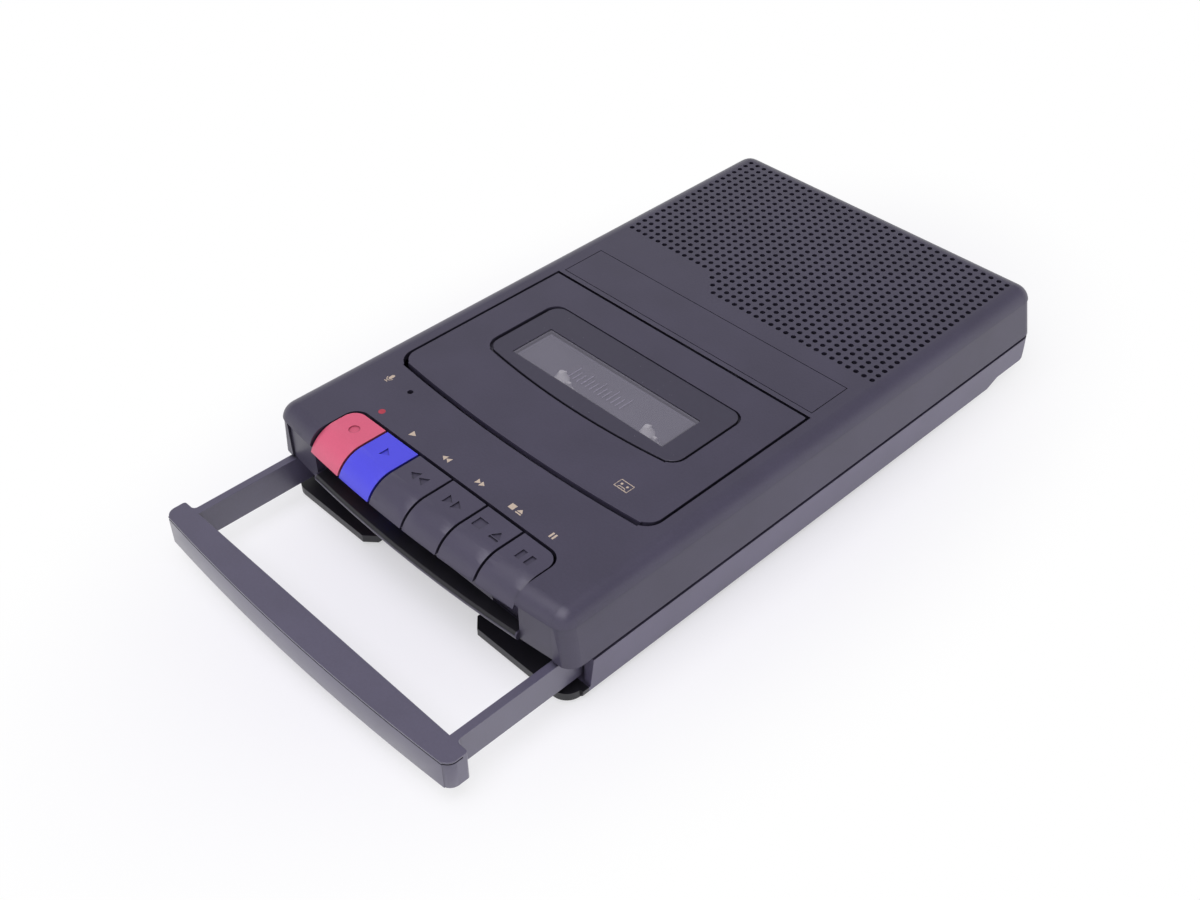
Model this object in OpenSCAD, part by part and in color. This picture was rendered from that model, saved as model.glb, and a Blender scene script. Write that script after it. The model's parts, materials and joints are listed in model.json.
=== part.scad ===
// Portable cassette recorder with piano keys, a hinged cassette lid, a perforated
// speaker grille and a pull-out carrying handle, drawn with the handle out.
// Right is +X, the speaker end is +Y and the ground is z = 0. Lengths in millimetres.
// Names ending in _d are distances behind the front of the case.

/* [Case] */
// Width of the case at its parting line
case_w = 147; // [143:1:156]
// Length of the case, keys to speaker end
case_l = 245; // [243:1:262]
// Height of the case without its feet
case_h = 38.5; // [37.5:0.5:44]
// Height of the parting line above the underside
parting_h = 17; // [16.5:0.5:17.5]
// Dark line left open at the parting line
parting_gap = 1.4; // [1:0.1:1.6]
// Wall of the two half shells
wall = 2.4; // [2:0.1:2.8]
// Floor of the lower shell
floor_t = 3; // [2.8:0.1:3.4]
// Radius along the top edges
edge_r = 6.5; // [5.5:0.5:7]
// Depth of the crease below the top
crease_h = 5; // [4:0.5:5.4]
// Radius of the upright corners
corner_r = 6; // [4:0.5:8]
// Small step under the rounded top edge
crease_step = 0.4; // [0.2:0.1:0.8]
// Lean of the upper walls, crease to parting line
side_flare = 1.5; // [0.8:0.1:1.8]
// Lean of the front wall, crease to parting line
front_lean = 0.6; // [0.2:0.1:1]
// How far the front bows forward in its middle
front_bow = 3.6; // [2.5:0.1:4]
// Lean of the lower walls, parting line to underside
lower_taper = 2; // [1.2:0.1:2.4]
// Rise of the underside at the speaker end
rear_step_h = 4; // [3:0.5:5]
// Length of the raised underside
rear_step_l = 25; // [22:1:30]
// Height of the rubber feet
foot_h = 1.5; // [1:0.1:3]
// Diameter of the rubber feet
foot_d = 10; // [8:0.5:12]

/* [Keys] */
// Spacing of the piano keys
key_pitch = 17; // [16:0.1:17.4]
// Gap between neighbouring keys
key_gap = 1; // [0.7:0.1:1.2]
// Middle of the key row, right of the case middle
key_row_x = 1.2; // [0:0.1:2]
// Rear edge of the keys behind the front of the case
key_rear_d = 18; // [17:0.1:18.6]
// How far the keys bulge past the front of the case
key_bulge = 0.3; // [0.1:0.1:0.8]
// Radius of the front edge of the keys
key_front_r = 11.5; // [10:0.5:13]
// Height of the keys at their front
key_front_h = 7; // [6.6:0.1:8]
// Wall of the hollow key caps
key_wall = 1.5; // [1.2:0.1:2]
// Gap behind the key row
key_surround = 1.2; // [0.8:0.1:1.4]
// Radius of the two outer rear corners of the key row
key_corner_r = 5; // [3:0.5:6]
// Diameter of the steel rod that the keys swing on
key_shaft_d = 3; // [2.5:0.1:3.6]
// Height of the key opening's sill above the parting line
sill_h = 3.2; // [2.5:0.1:4]

/* [Cassette bay] */
// Width of the tape cassette that the bay takes
cassette_w = 102.4; // [102:0.1:104]
// Depth of the tape cassette
cassette_l = 64; // [63.8:0.1:65]
// Thickness of the tape cassette
cassette_t = 12; // [11.8:0.1:12.4]
// Spacing of the two reel spindles
hub_pitch = 42.5; // [42:0.1:43]
// Spindle line in front of the cassette's rear edge
hub_back = 29.5; // [29:0.1:30]
// Front edge of the cassette behind the front of the case
cassette_d = 51.9; // [51.5:0.1:53]
// Margin of the lid outside the cassette at each side
lid_margin = 9.8; // [9.2:0.1:10.2]
// Margin of the lid in front of the cassette
lid_margin_front = 5.3; // [4.8:0.1:5.8]
// Margin of the lid behind the cassette
lid_margin_rear = 6.1; // [5.8:0.1:6.4]
// Gap at the sides of the lid
lid_gap = 1.1; // [0.7:0.1:1.3]
// Thickness of the lid
lid_t = 2.4; // [2.2:0.1:2.6]
// Depth of the rim under the lid
lid_rim_h = 3; // [2:0.1:3.4]
// Radius of the lid's front corners
lid_corner_r = 6; // [4:0.5:8]
// How far the lid's front edge bows forward
lid_bow = 2.8; // [2:0.1:3.2]
// Height of the lid's hinge line below the top
hinge_h = 3.5; // [3.2:0.1:3.8]
// Hinge line in front of the lid's rear edge
hinge_back = 2.5; // [2.2:0.1:2.8]
// Diameter of the lid's two hinge pins
hinge_pin_d = 2.4; // [2:0.1:2.6]

/* [Window] */
// Width of the window bezel
bezel_w = 91.6; // [86:0.2:93]
// Depth of the window bezel at its sides
bezel_l = 34.7; // [32:0.1:36]
// Front of the bezel behind the front of the lid
bezel_front = 26.7; // [25:0.1:28]
// How far the bezel's front edge bows forward
bezel_bow = 3; // [2:0.1:3.4]
// Radius of the bezel's front corners
bezel_corner_r = 5; // [4:0.5:7]
// Width of the clear pane
pane_w = 73.4; // [69:0.2:77]
// Depth of the clear pane
pane_l = 18.4; // [16:0.1:20]
// Front of the pane behind the front of the bezel
pane_front = 4.2; // [3:0.1:6]

/* [Speaker] */
// Diameter of the grille holes
hole_d = 2; // [1.6:0.1:2.2]
// Spacing of the grille holes
hole_pitch = 3.55; // [3.2:0.05:4]
// Columns of grille holes
hole_columns = 37; // [31:2:37]
// Rows of grille holes over the whole width
hole_rows = 21; // [17:1:21]
// Extra rows of holes on the right, in front of the others
hole_extra_rows = 3; // [1:1:4]
// Extra columns lost at the left of the extra rows
hole_extra_start = 15; // [10:1:20]
// Last row of holes in front of the case's rear
hole_rear = 9.4; // [9.4:0.1:10.4]
// Diameter of the loudspeaker
speaker_d = 72; // [66:1:76]
// Depth of the loudspeaker
speaker_h = 21; // [19:0.5:24]

/* [Handle] */
// Gap between the case and the pulled-out crossbar
grip_gap = 38.3; // [32:0.5:42]
// Depth of the crossbar at its ends
bar_depth = 8; // [7:0.5:9]
// How far the crossbar's front bows out
bar_bow = 2.6; // [1.5:0.1:3.2]
// Thickness of the two arms
arm_t = 3; // [2.6:0.1:3.4]
// Arms set in from the widest part of the case
arm_inset = 5.5; // [5.2:0.1:5.8]
// Length of the arms that stays in the case when pulled out
arm_hold = 37.7; // [34:0.1:42]
// Recess behind the crossbar when it is pushed in
finger_d = 14; // [13:0.5:15]
// Width of the finger opening under the crossbar
finger_w = 52; // [46:1:58]

/* [Mechanism] */
// Thickness of the steel deck
deck_t = 1.4; // [1.2:0.1:1.6]
// Diameter of the flywheel
flywheel_d = 48; // [44:1:50]
// Height of the flywheel
flywheel_h = 8; // [7:0.5:8.5]
// Diameter of the capstan
capstan_d = 2.5; // [2:0.1:3]
// Diameter of the motor pulley
pulley_d = 8; // [7:0.5:10]
// Diameter of the motor
motor_d = 30; // [27:1:31]
// Thickness of the drive belt
belt_t = 1.2; // [1:0.1:1.5]
// Travel of the head carriage when play is pressed
carriage_travel = 4; // [3.5:0.1:4.2]
// Diameter of the pinch roller
roller_d = 11; // [10:0.5:11.5]

/* [Power and controls] */
// Diameter of a battery cell
cell_d = 26.2; // [25.8:0.1:26.6]
// Length of a battery cell
cell_l = 50; // [49.5:0.1:50.5]
// Thickness of the battery cover
cover_t = 2.2; // [2:0.1:2.4]
// Diameter of the volume dial
dial_d = 20; // [18:0.5:21]
// Thickness of the volume dial
dial_t = 3; // [2.5:0.1:3.5]
// How far the volume dial stands out of the left wall
dial_proud = 1; // [0.6:0.1:1.6]

/* [Hidden] */
$fn = 48;
smooth_arc = 720;

// Clearances
run_gap = 0.3;
turn_gap = 0.04;
seat_gap = 0.15;
past = 1;

// Levels of the case
top_z = foot_h + case_h;
part_z = foot_h + parting_h;
floor_z = foot_h + floor_t;
skin_z = top_z - wall;
grille_ledge = 1.5;
upper_z = part_z + parting_gap / 2;
lower_z = part_z - parting_gap / 2;

// Outline of the case; the origin lies under the middle of case and handle together
half_w = case_w / 2;
handle_out = grip_gap + bar_depth + bar_bow;
front_y = (handle_out - case_l) / 2;
rear_y = front_y + case_l;
crease_half = half_w - side_flare;
arc_in = edge_r - sqrt(edge_r * edge_r - (edge_r - crease_h) * (edge_r - crease_h));
round_in = edge_r - arc_in;
ball_set = 0.02;
crease_z = top_z - crease_h;
flat_half = crease_half - round_in;
inner_half = half_w - lower_taper - wall;
function fy(d) = front_y + d;

// Bow of the front and the axis of its two upright corners
bow_r = (flat_half * flat_half + front_bow * front_bow) / (2 * front_bow);
bow_y = front_y - front_bow + bow_r;
bow_sweep = 32;
bow_ahead = front_y - front_bow - 2 * past;
corner_turn = asin(flat_half / (bow_r - round_in));
corner_y = bow_y - (bow_r - round_in) * cos(corner_turn);

front_flat_x = flat_half + 0.4;
front_recess = 0.7;

// Key row
key_count = 6;
key_w = key_pitch - key_gap;
key_row_w = key_count * key_pitch - key_gap;
key_top = top_z;
key_side_gap = 0.6;
key_pivot_d = key_rear_d + 16;
key_pivot_z = top_z - 14.5;
key_boss_d = key_shaft_d + 4.2;
key_boss_w = 8;
key_lever_t = 3.2;
key_front_run = sqrt(key_front_r * key_front_r - pow(key_front_r - key_front_h, 2));
key_sign_h = 4;
key_sign_depth = 0.5;
key_sign_d = key_rear_d - 6.9;
function key_x(i) = key_row_x + (i - (key_count - 1) / 2) * key_pitch;
cheek_t = deck_t;
cheek_x = key_row_w / 2 + 3;
cheek_foot = 4.5;
shaft_over = 1.2;
spring_wire = 0.5;
spring_r = key_shaft_d / 2 + 0.9;
spring_turns = 5;
spring_pitch = 1.2;

// Lid and what hangs under it
lid_w = cassette_w + 2 * lid_margin;
lid_front_d = cassette_d - lid_margin_front;
lid_rear_d = cassette_d + cassette_l + lid_margin_rear;
lid_under = top_z - lid_t;
lid_rim_t = 1.5;
hinge_z = top_z - hinge_h;
hinge_d = lid_rear_d - hinge_back;
hinge_sweep = sqrt(hinge_h * hinge_h + hinge_back * hinge_back) + 0.75;
hinge_pin_l = lid_gap + 2.2;
hinge_lug_d = hinge_pin_d + 2;
hinge_lug_w = 3;
hinge_gap = 1.1;
lid_front_gap = lid_gap + 0.9;
guide_t = 1.5;
guide_lip = 1;
guide_lip_w = 2.6;
cassette_play = 0.2;
cassette_z1 = lid_under - cassette_play;
cassette_z0 = cassette_z1 - cassette_t;
guide_z0 = cassette_z0 - cassette_play / 2 - guide_lip;
guide_x = cassette_w / 2 + cassette_play;
bezel_drop = 0.3;
bezel_t = 1.2;
bezel_gap = 1.2;
bezel_z0 = top_z - bezel_drop - bezel_t;
pane_t = 0.8;
pane_ledge = 1;

// Deck, carriage and bay, stacked down from the cassette
sheet_t = 1.2;
well_floor_t = 1.2;
well_t = 1.4;
well_z1 = guide_z0 - run_gap;
well_z0 = well_z1 - well_floor_t;
carriage_z1 = well_z0 - run_gap;
carriage_z0 = carriage_z1 - sheet_t;
deck_z1 = carriage_z0 - run_gap;
deck_z0 = deck_z1 - deck_t;
well_half = guide_x + guide_t + 2;
well_front_d = cassette_d - 6.5;
well_rear_d = cassette_d + cassette_l + 0.6;
well_floor_d = cassette_d + 4.6;
deck_half = well_half + well_t + 3;
deck_front_d = key_pivot_d - 6;
deck_rear_d = well_rear_d + well_t + 3.5;
hub_d = cassette_d + cassette_l - hub_back;
hub_x = hub_pitch / 2;
hub_tip_z = cassette_z1 - 3.4;
stud_d = 2;
hub_r = 3.4;
hub_flange_r = 8;
capstan_x = hub_x + 7.75;
capstan_d_front = cassette_d + 8.1;
bearing_d = 7;
bearing_over = 1.2;
post_d = 5.2;

// Carriage, heads and pinch roller
carriage_d0 = cassette_d - 10.4;
carriage_d1 = capstan_d_front - capstan_d / 2 - carriage_travel - 0.6;
carriage_x0 = -34;
head_z1 = lid_under - lid_rim_h - 0.8;
head_face_d = cassette_d - 1.5;
roller_rest = capstan_d / 2 + roller_d / 2 + run_gap + carriage_travel;
roller_d_front = capstan_d_front - roller_rest;
roller_z0 = well_z1 + 1;
roller_z1 = head_z1 - 0.4;
axle_d = 2.4;
head_w = 12;
head_l = 6.4;
erase_x = -20;
erase_w = 9;
erase_l = 5;

// Drive under the deck
bracket_z0 = floor_z + 1;
bracket_z1 = bracket_z0 + sheet_t;
flywheel_z0 = bracket_z1 + 1.5;
flywheel_z1 = flywheel_z0 + flywheel_h;
groove = 1;
belt_z0 = flywheel_z0 + 1.4;
belt_h = 3;
belt_gap = 0.1;
motor_gap = 2.5;
motor_d_front = deck_rear_d + motor_d / 2 + 1.4;
motor_z1 = skin_z - grille_ledge - 0.5;
motor_shaft_d = 2;
pulley_h = belt_h + 2.6;
pulley_z0 = belt_z0 - 1.3;

// Handle
handle_z0 = floor_z + 2.5;
handle_z1 = upper_z - 0.65;
bar_half = half_w - 0.3;
bar_corner_r = bar_depth * 0.475;
bar_line = 0.5;
arm_fillet = 1.6;
arm_x1 = half_w - arm_inset;
arm_x0 = arm_x1 - arm_t;
bar_proud = 0.5;
handle_travel = handle_out - bar_proud;
bar_in_closed = handle_travel - grip_gap;
toe_w = 2.4;
toe_l = 3;
rib_t = 1.6;
ear_d = bar_in_closed + 0.6;
tab_d = 1.6;
rim_gap = 0.35;
rim_t = 1.2;
rim_h = 1.4;
finger_r = 4;
finger_x = -1;

// Name strip
strip_w = 121;
strip_front_d = lid_rear_d + hinge_gap + 2.4;
strip_l = 18.6;
strip_t = 1;
strip_gap = 0.3;

// Grille panel
grille_half = flat_half - 0.2;
grille_rear_d = case_l - side_flare - round_in - 0.2;
grille_front_d = strip_front_d + strip_l + 4.4;
last_row_d = case_l - hole_rear;
speaker_d_front = last_row_d - speaker_d / 2 - 3;

// Batteries at the left of the speaker
bay_x0 = -inner_half + 0.4;
bay_x1 = bay_x0 + 2 * cell_d + 1.2;
bay_rear_d = case_l - lower_taper - wall - 1;
bay_front_d = bay_rear_d - 2 * cell_l - 6;
bay_wall = 1.6;
speaker_x = (bay_x1 + bay_wall + inner_half) / 2;
bay_z1 = foot_h + rear_step_h + floor_t + cell_d * 0.85;
step_d = case_l - rear_step_l;
step_run = 7;
motor_x = bay_x1 + bay_wall + motor_gap + motor_d / 2;
cover_edge = 2.2;
cover_x0 = bay_x0 + cover_edge;
cover_x1 = bay_x1 - cover_edge;
cover_front_d = bay_front_d + 4.5;
cover_rear_d = step_d - 0.4;
cover_travel = 12;
cover_z1 = foot_h + cover_t;
tongue_w = 1.3;
tongue_t = 1;

// Circuit board at the left, jacks and dial on the left wall, supply socket at the rear
board_z0 = floor_z + 2;
board_t = 1.6;
board_z1 = board_z0 + board_t;
board_x0 = -(arm_x0 - toe_w - 1.2);
board_x1 = -8;
board_front_d = key_pivot_d - 4;
board_rear_d = bay_front_d - bay_wall - 2;
function board_x(share) = board_x0 + share * (board_x1 - board_x0);
function board_d(share) = board_front_d + share * (board_rear_d - board_front_d);
can_d = 6.4;
can_h = 9;
can_at = [[0.59, 0.54], [0.74, 0.54], [0.59, 0.66], [0.25, 0.4]];
chip_w = 6;
chip_l = 19;
chip_t = 3.6;
chip_lift = 0.4;
leg_pitch = 2.54;
leg_t = 0.6;
switch_w = 8;
switch_l = 28;
switch_h = 6;
slider_w = 2.4;
wing_front_d = arm_hold + handle_travel + 4;
dial_d_front = wing_front_d + dial_d / 2 + 1;
dial_x = -(half_w - lower_taper / 2) - dial_proud + dial_d / 2;
dial_z0 = board_z1 + 3.4;
dial_slot = 0.6;
jack_z = board_z1 + 4;
jack_d = 6.4;
jack_hole_d = 3.6;
jack_l = 12;
earphone_d_front = dial_d_front + dial_d / 2 + 5;
mic_jack_d_front = earphone_d_front + jack_d + 2;
dc_x = speaker_x + speaker_d / 4;
dc_z = foot_h + rear_step_h + floor_t + 5.5;
dc_w = 9;
dc_hole_d = 6;
mic_x = -43.7;
mic_d_front = lid_front_d - lid_front_gap - 7.9;
mic_d = 9.7;
mic_h = 6;
mic_ring = 1.2;
mic_hole_d = 2.2;

// Fasteners and the posts that hold the deck
screw_d = 2.8;
screw_hole_d = screw_d + 0.2;
screw_head_d = 5.6;
screw_head_h = 2;
boss_d = 7;
post_at = [[arm_x0 - toe_w - screw_head_d / 2 - 0.5, key_pivot_d + 7],
           [lid_w / 2 + lid_gap + post_d / 2 + 0.8, lid_rear_d - 10]];
case_screw_at = [[-key_row_w / 2 - 8, key_rear_d + 5.6], [key_row_w / 2 + 8, key_rear_d + 5.6],
                 [bay_x1 + bay_wall + boss_d / 2 + 0.4, case_l - 9],
                 [inner_half - boss_d / 2 - 2.4, case_l - 9],
                 [inner_half - boss_d / 2 - 2.4, lid_rear_d + 6.4]];
foot_x = arm_x0 - foot_d - 2;
foot_front_d = key_pivot_d + foot_d;
foot_at = [[-foot_x, foot_front_d], [foot_x, foot_front_d], [-foot_x, bay_front_d - foot_d / 2 - 1],
           [foot_x, step_d - foot_d]];
foot_seat = 0.8;

// Shared shapes
module block(x, y, z) {
    translate([x[0], y[0], z[0]])
        cube([x[1] - x[0], y[1] - y[0], z[1] - z[0]]);
}

module upright(x, d, dia, z) {
    translate([x, fy(d), z[0]])
        cylinder(d = dia, h = z[1] - z[0]);
}

module both_sides() {
    children();
    mirror([1, 0, 0])
        children();
}

module along_y(y) {
    translate([0, y[1], 0])
        rotate([90, 0, 0])
            linear_extrude(y[1] - y[0])
                children();
}

module along_x(x) {
    translate([x[0], 0, 0])
        rotate([90, 0, 90])
            linear_extrude(x[1] - x[0])
                children();
}

module above(z) {
    translate([0, 0, z[0]])
        linear_extrude(z[1] - z[0])
            children();
}

// A section swept along the bow of the front; its first axis points forward from the bow's centre
module along_bow() {
    translate([0, bow_y, 0])
        rotate([0, 0, -90 - bow_sweep / 2])
            rotate_extrude(angle = bow_sweep, $fn = smooth_arc)
                children();
}

// A rectangle between two corners with its own radius at the front and at the rear
module plan(x, y, r_front, r_rear) {
    translate([x[0] + r_front, y[0]])
        square([x[1] - x[0] - 2 * r_front, r_front + 0.01]);
    translate([x[0] + r_rear, y[1] - r_rear - 0.01])
        square([x[1] - x[0] - 2 * r_rear, r_rear + 0.01]);
    translate([x[0], y[0] + r_front])
        square([x[1] - x[0], y[1] - y[0] - r_front - r_rear]);
    for (cx = [x[0] + r_front, x[1] - r_front])
        translate([cx, y[0] + r_front])
            circle(r_front);
    for (cx = [x[0] + r_rear, x[1] - r_rear])
        translate([cx, y[1] - r_rear])
            circle(r_rear);
}

// The same with a front edge that bows forward between its corners
module bowed_plan(half, y, bow, r_front, r_rear) {
    reach = half - r_front * 0.6;
    sag_r = (reach * reach + bow * bow) / (2 * bow);
    plan([-half, half], y, r_front, r_rear);
    intersection() {
        translate([0, y[0] - bow + sag_r])
            circle(sag_r, $fn = smooth_arc);
        translate([-reach, y[0] - 2 * bow])
            square([2 * reach, 2 * bow + (y[1] - y[0]) / 2]);
    }
}

// Section of the upper shell: leaning walls, a stepped crease and rounded top edges
module dome_profile(crease, foot, z_low, z_high, step) {
    fold_z = z_high - crease_h;
    centre = [crease[0] + round_in, crease[1] - round_in];
    polygon([[foot[0], z_low], [foot[1], z_low], [crease[1] - step, fold_z], [centre[1], fold_z],
             [centre[1], z_high], [centre[0], z_high], [centre[0], fold_z], [crease[0] + step, fold_z]]);
    for (x = centre)
        intersection() {
            translate([x, z_high - edge_r])
                circle(edge_r);
            translate([crease[0] - past, fold_z])
                square([crease[1] - crease[0] + 2 * past, crease_h + past]);
        }
}

module upper_block() {
    ahead = front_y - 3 * edge_r;
    behind = bow_r - case_l - 3 * edge_r;
    intersection() {
        along_y([ahead, rear_y + past])
            dome_profile([-crease_half, crease_half], [-half_w, half_w], upper_z, top_z, crease_step);
        along_x([-half_w - past, half_w + past])
            dome_profile([ahead, rear_y - side_flare], [ahead, rear_y], upper_z, top_z, crease_step);
        along_bow()
            dome_profile([behind, bow_r], [behind, bow_r - front_lean], upper_z, top_z, crease_step);
    }
}

// The room inside the upper shell, with a straight front
module upper_room() {
    side = crease_half - wall;
    side_foot = half_w - wall;
    ends = [front_y + wall, rear_y - side_flare - wall];
    ends_foot = [front_y + front_lean + wall, rear_y - wall];
    intersection() {
        along_y([front_y - past, rear_y + past])
            dome_profile([-side, side], [-side_foot, side_foot], upper_z - past, skin_z, 0);
        along_x([-half_w - past, half_w + past])
            dome_profile(ends, ends_foot, upper_z - past, skin_z, 0);
        above([upper_z - 2 * past, top_z])
            plan([-side_foot, side_foot], [front_y + wall, rear_y - wall], corner_r, corner_r);
    }
}

// What is taken off an upright corner: all outside a ball above the crease and a leaning post below it
module corner_cut(turn, lean) {
    reach = 3 * edge_r;
    fall = crease_z - upper_z;
    tilt = atan((side_flare + crease_step) / fall);
    edges = [[0, 0], [reach * sin(turn), -reach * cos(turn)], [reach, -reach], [reach, 0]];
    difference() {
        above([0, crease_h + past])
            polygon(edges);
        translate([0, 0, crease_h - edge_r])
            sphere(edge_r - ball_set);
    }
    intersection() {
        rotate([atan(lean / fall * cos(tilt)), -tilt, 0])
            difference() {
                above([-fall - 3 * past, 3 * past])
                    polygon(edges);
                translate([0, 0, -fall - 4 * past])
                    cylinder(r = round_in - crease_step, h = fall + 8 * past);
            }
        block([-past, 2 * reach], [-2 * reach, reach], [-fall - past, 0]);
    }
}

module corner_cuts() {
    both_sides() {
        translate([flat_half, corner_y, crease_z])
            corner_cut(corner_turn, front_lean - crease_step);
        translate([flat_half, rear_y - side_flare - round_in, crease_z])
            mirror([0, 1, 0])
                corner_cut(0, -side_flare - crease_step);
    }
}

// Lower shell: walls that lean in, chamfered below, with a raised underside at the rear
module lower_block(inset, front, base_t, high_z) {
    chamfer = 0.9;
    low = foot_h + base_t;
    step = low + rear_step_h;
    foot_half = half_w - lower_taper - inset;
    top_half = half_w - inset;
    rear = rear_y - inset;
    intersection() {
        along_y([front_y - past, rear_y + past])
            polygon([[chamfer - foot_half, low], [foot_half - chamfer, low],
                     [foot_half, low + chamfer], [top_half, lower_z],
                     [top_half, high_z], [-top_half, high_z],
                     [-top_half, lower_z], [-foot_half, low + chamfer]]);
        along_x([-half_w - past, half_w + past])
            polygon([[front, low], [fy(step_d), low], [fy(step_d + step_run), step],
                     [rear - lower_taper - chamfer, step], [rear - lower_taper, step + chamfer],
                     [rear, lower_z], [rear, high_z], [front, high_z]]);
        above([foot_h - past, top_z])
            plan([inset - half_w, half_w - inset], [front_y + inset / 2, rear_y - inset],
                 corner_r, corner_r);
    }
}

// Case
module key_opening() {
    half = key_row_w / 2 + key_side_gap;
    above([upper_z + sill_h, top_z + past])
        plan([key_row_x - half, key_row_x + half], [bow_ahead, fy(key_rear_d + key_surround)],
             0.5, key_corner_r + key_side_gap);
}

module lid_opening() {
    half = lid_w / 2 + lid_gap;
    above([skin_z - 6, top_z + past])
        bowed_plan(half, [fy(lid_front_d - lid_front_gap), fy(lid_rear_d)],
                   lid_bow, lid_corner_r + lid_gap, 0.5);
    // Room behind the hinge line for the lid's rear edge to swing
    hinge_line(2 * hinge_sweep, [-half, half]);
}

module hinge_line(dia, x) {
    translate([x[0], fy(hinge_d), hinge_z])
        rotate([0, 90, 0])
            cylinder(d = dia, h = x[1] - x[0]);
}

module top_case() {
    boss_w = hinge_pin_l + 1.4;
    hinge_x = lid_w / 2 + lid_gap;
    sill_z = upper_z + sill_h;
    sill_r = sill_h * 0.6;
    row = [key_row_x - key_row_w / 2 - key_side_gap, key_row_x + key_row_w / 2 + key_side_gap];
    color("#413f4a")
    difference() {
        union() {
            difference() {
                upper_block();
                corner_cuts();
                upper_room();
                key_opening();
                lid_opening();
                block([-grille_half, grille_half], [fy(grille_front_d), fy(grille_rear_d)],
                      [skin_z - past, top_z + past]);
            }
            // Rounded sill under the keys
            intersection() {
                along_bow()
                    translate([bow_r + key_bulge - sill_r, upper_z + sill_h / 2])
                        circle(sill_r);
                block([row[0] - 2, row[1] + 2], [bow_ahead, fy(finger_d)], [upper_z, sill_z]);
            }
            both_sides()
                block([hinge_x, hinge_x + boss_w],
                      [fy(hinge_d - hinge_lug_d / 2), fy(hinge_d + hinge_lug_d / 2)],
                      [hinge_z - hinge_lug_d / 2, skin_z + 0.2]);
            // Ledge that carries the grille panel
            difference() {
                block([-grille_half - 1.2, grille_half + 1.2],
                      [fy(grille_front_d - 1.2), fy(grille_rear_d + 1.2)], [skin_z - grille_ledge, skin_z]);
                block([1.6 - grille_half, grille_half - 1.6],
                      [fy(grille_front_d + 1.6), fy(grille_rear_d - 1.6)],
                      [skin_z - grille_ledge - past, skin_z + past]);
            }
            both_sides()
                for (at = post_at)
                    upright(at[0], at[1], post_d, [deck_z1, skin_z + 0.2]);
            for (at = case_screw_at)
                upright(at[0], at[1], boss_d, [lower_z, skin_z + 0.2]);
            upright(mic_x, mic_d_front, mic_d + 2 * mic_ring + 2 * seat_gap, [skin_z - 5, skin_z + 0.2]);
        }
        block([-strip_w / 2 - strip_gap, strip_w / 2 + strip_gap],
              [fy(strip_front_d - strip_gap), fy(strip_front_d + strip_l + strip_gap)],
              [top_z - strip_t, top_z + past]);
        // The front wall lies a little behind the crease and the two corner posts
        for (x = [[-front_flat_x, row[0]], [row[1], front_flat_x]])
            difference() {
                block(x, [bow_ahead, fy(finger_d)], [upper_z - past, crease_z - 0.6]);
                along_bow()
                    translate([bow_r - case_l, 0])
                        square([case_l - front_lean - front_recess, top_z]);
            }
        both_sides()
            hinge_line(hinge_pin_d + 2 * turn_gap, [hinge_x - past, hinge_x + hinge_pin_l]);
        both_sides()
            for (at = post_at)
                upright(at[0], at[1], screw_hole_d, [deck_z1 - past, deck_z1 + 9]);
        for (at = case_screw_at)
            upright(at[0], at[1], screw_hole_d, [lower_z - past, lower_z + 9]);
        upright(mic_x, mic_d_front, mic_d + 2 * seat_gap, [skin_z - mic_h, skin_z]);
        upright(mic_x, mic_d_front, mic_hole_d, [skin_z - past, top_z + past]);
    }
}

// Holes on a square grid; the extra rows start on the right and their end runs back at an angle
function row_start(row) = row < hole_extra_rows ? hole_extra_start - row : 0;

module speaker_grille() {
    left = -(hole_columns - 1) / 2 * hole_pitch;
    rows = hole_rows + hole_extra_rows;
    color("#413f4a")
    above([skin_z, top_z])
        difference() {
            translate([-grille_half, fy(grille_front_d)])
                square([2 * grille_half, grille_rear_d - grille_front_d]);
            for (row = [0 : rows - 1], column = [row_start(row) : hole_columns - 1])
                translate([left + column * hole_pitch, fy(last_row_d - (rows - 1 - row) * hole_pitch)])
                    circle(d = hole_d, $fn = 16);
        }
}

module name_strip() {
    color("#3c3a45")
    block([-strip_w / 2, strip_w / 2], [fy(strip_front_d), fy(strip_front_d + strip_l)],
          [top_z - strip_t, top_z]);
}

module board_pegs() {
    for (at = [[board_x0 + 5, board_front_d + 5], [board_x1 - 5, board_front_d + 5],
               [board_x0 + 5, board_rear_d - 5], [board_x1 - 5, board_rear_d - 5]])
        upright(at[0], at[1], 5, [floor_z - 0.2, board_z0]);
}

module handle_guides() {
    both_sides() {
        block([arm_x0 - run_gap - rib_t, arm_x0 - run_gap],
              [fy(finger_d + wall - 0.2), fy(arm_hold - toe_l - run_gap)], [floor_z - 0.2, handle_z1 - 4]);
        block([arm_x0 - run_gap, arm_x1 + run_gap], [fy(finger_d), fy(arm_hold + handle_travel + 1)],
              [floor_z - 0.2, handle_z0 - run_gap]);
    }
}

module finger_cutout() {
    half = finger_w / 2;
    above([foot_h - past, floor_z + past])
        plan([finger_x - half, finger_x + half], [front_y - 2 * finger_r, fy(finger_d)], 0.5, finger_r);
    // Corners of the two tabs beside the cut-out, cut at an angle
    above([foot_h - past, floor_z + past])
        polygon([[finger_x - half - finger_r, front_y - past], [finger_x + half + finger_r, front_y - past],
                 [finger_x + half + finger_r, fy(tab_d)], [finger_x + half - 0.5, fy(tab_d + finger_r)],
                 [finger_x - half + 0.5, fy(tab_d + finger_r)], [finger_x - half - finger_r, fy(tab_d)]]);
}

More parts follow.
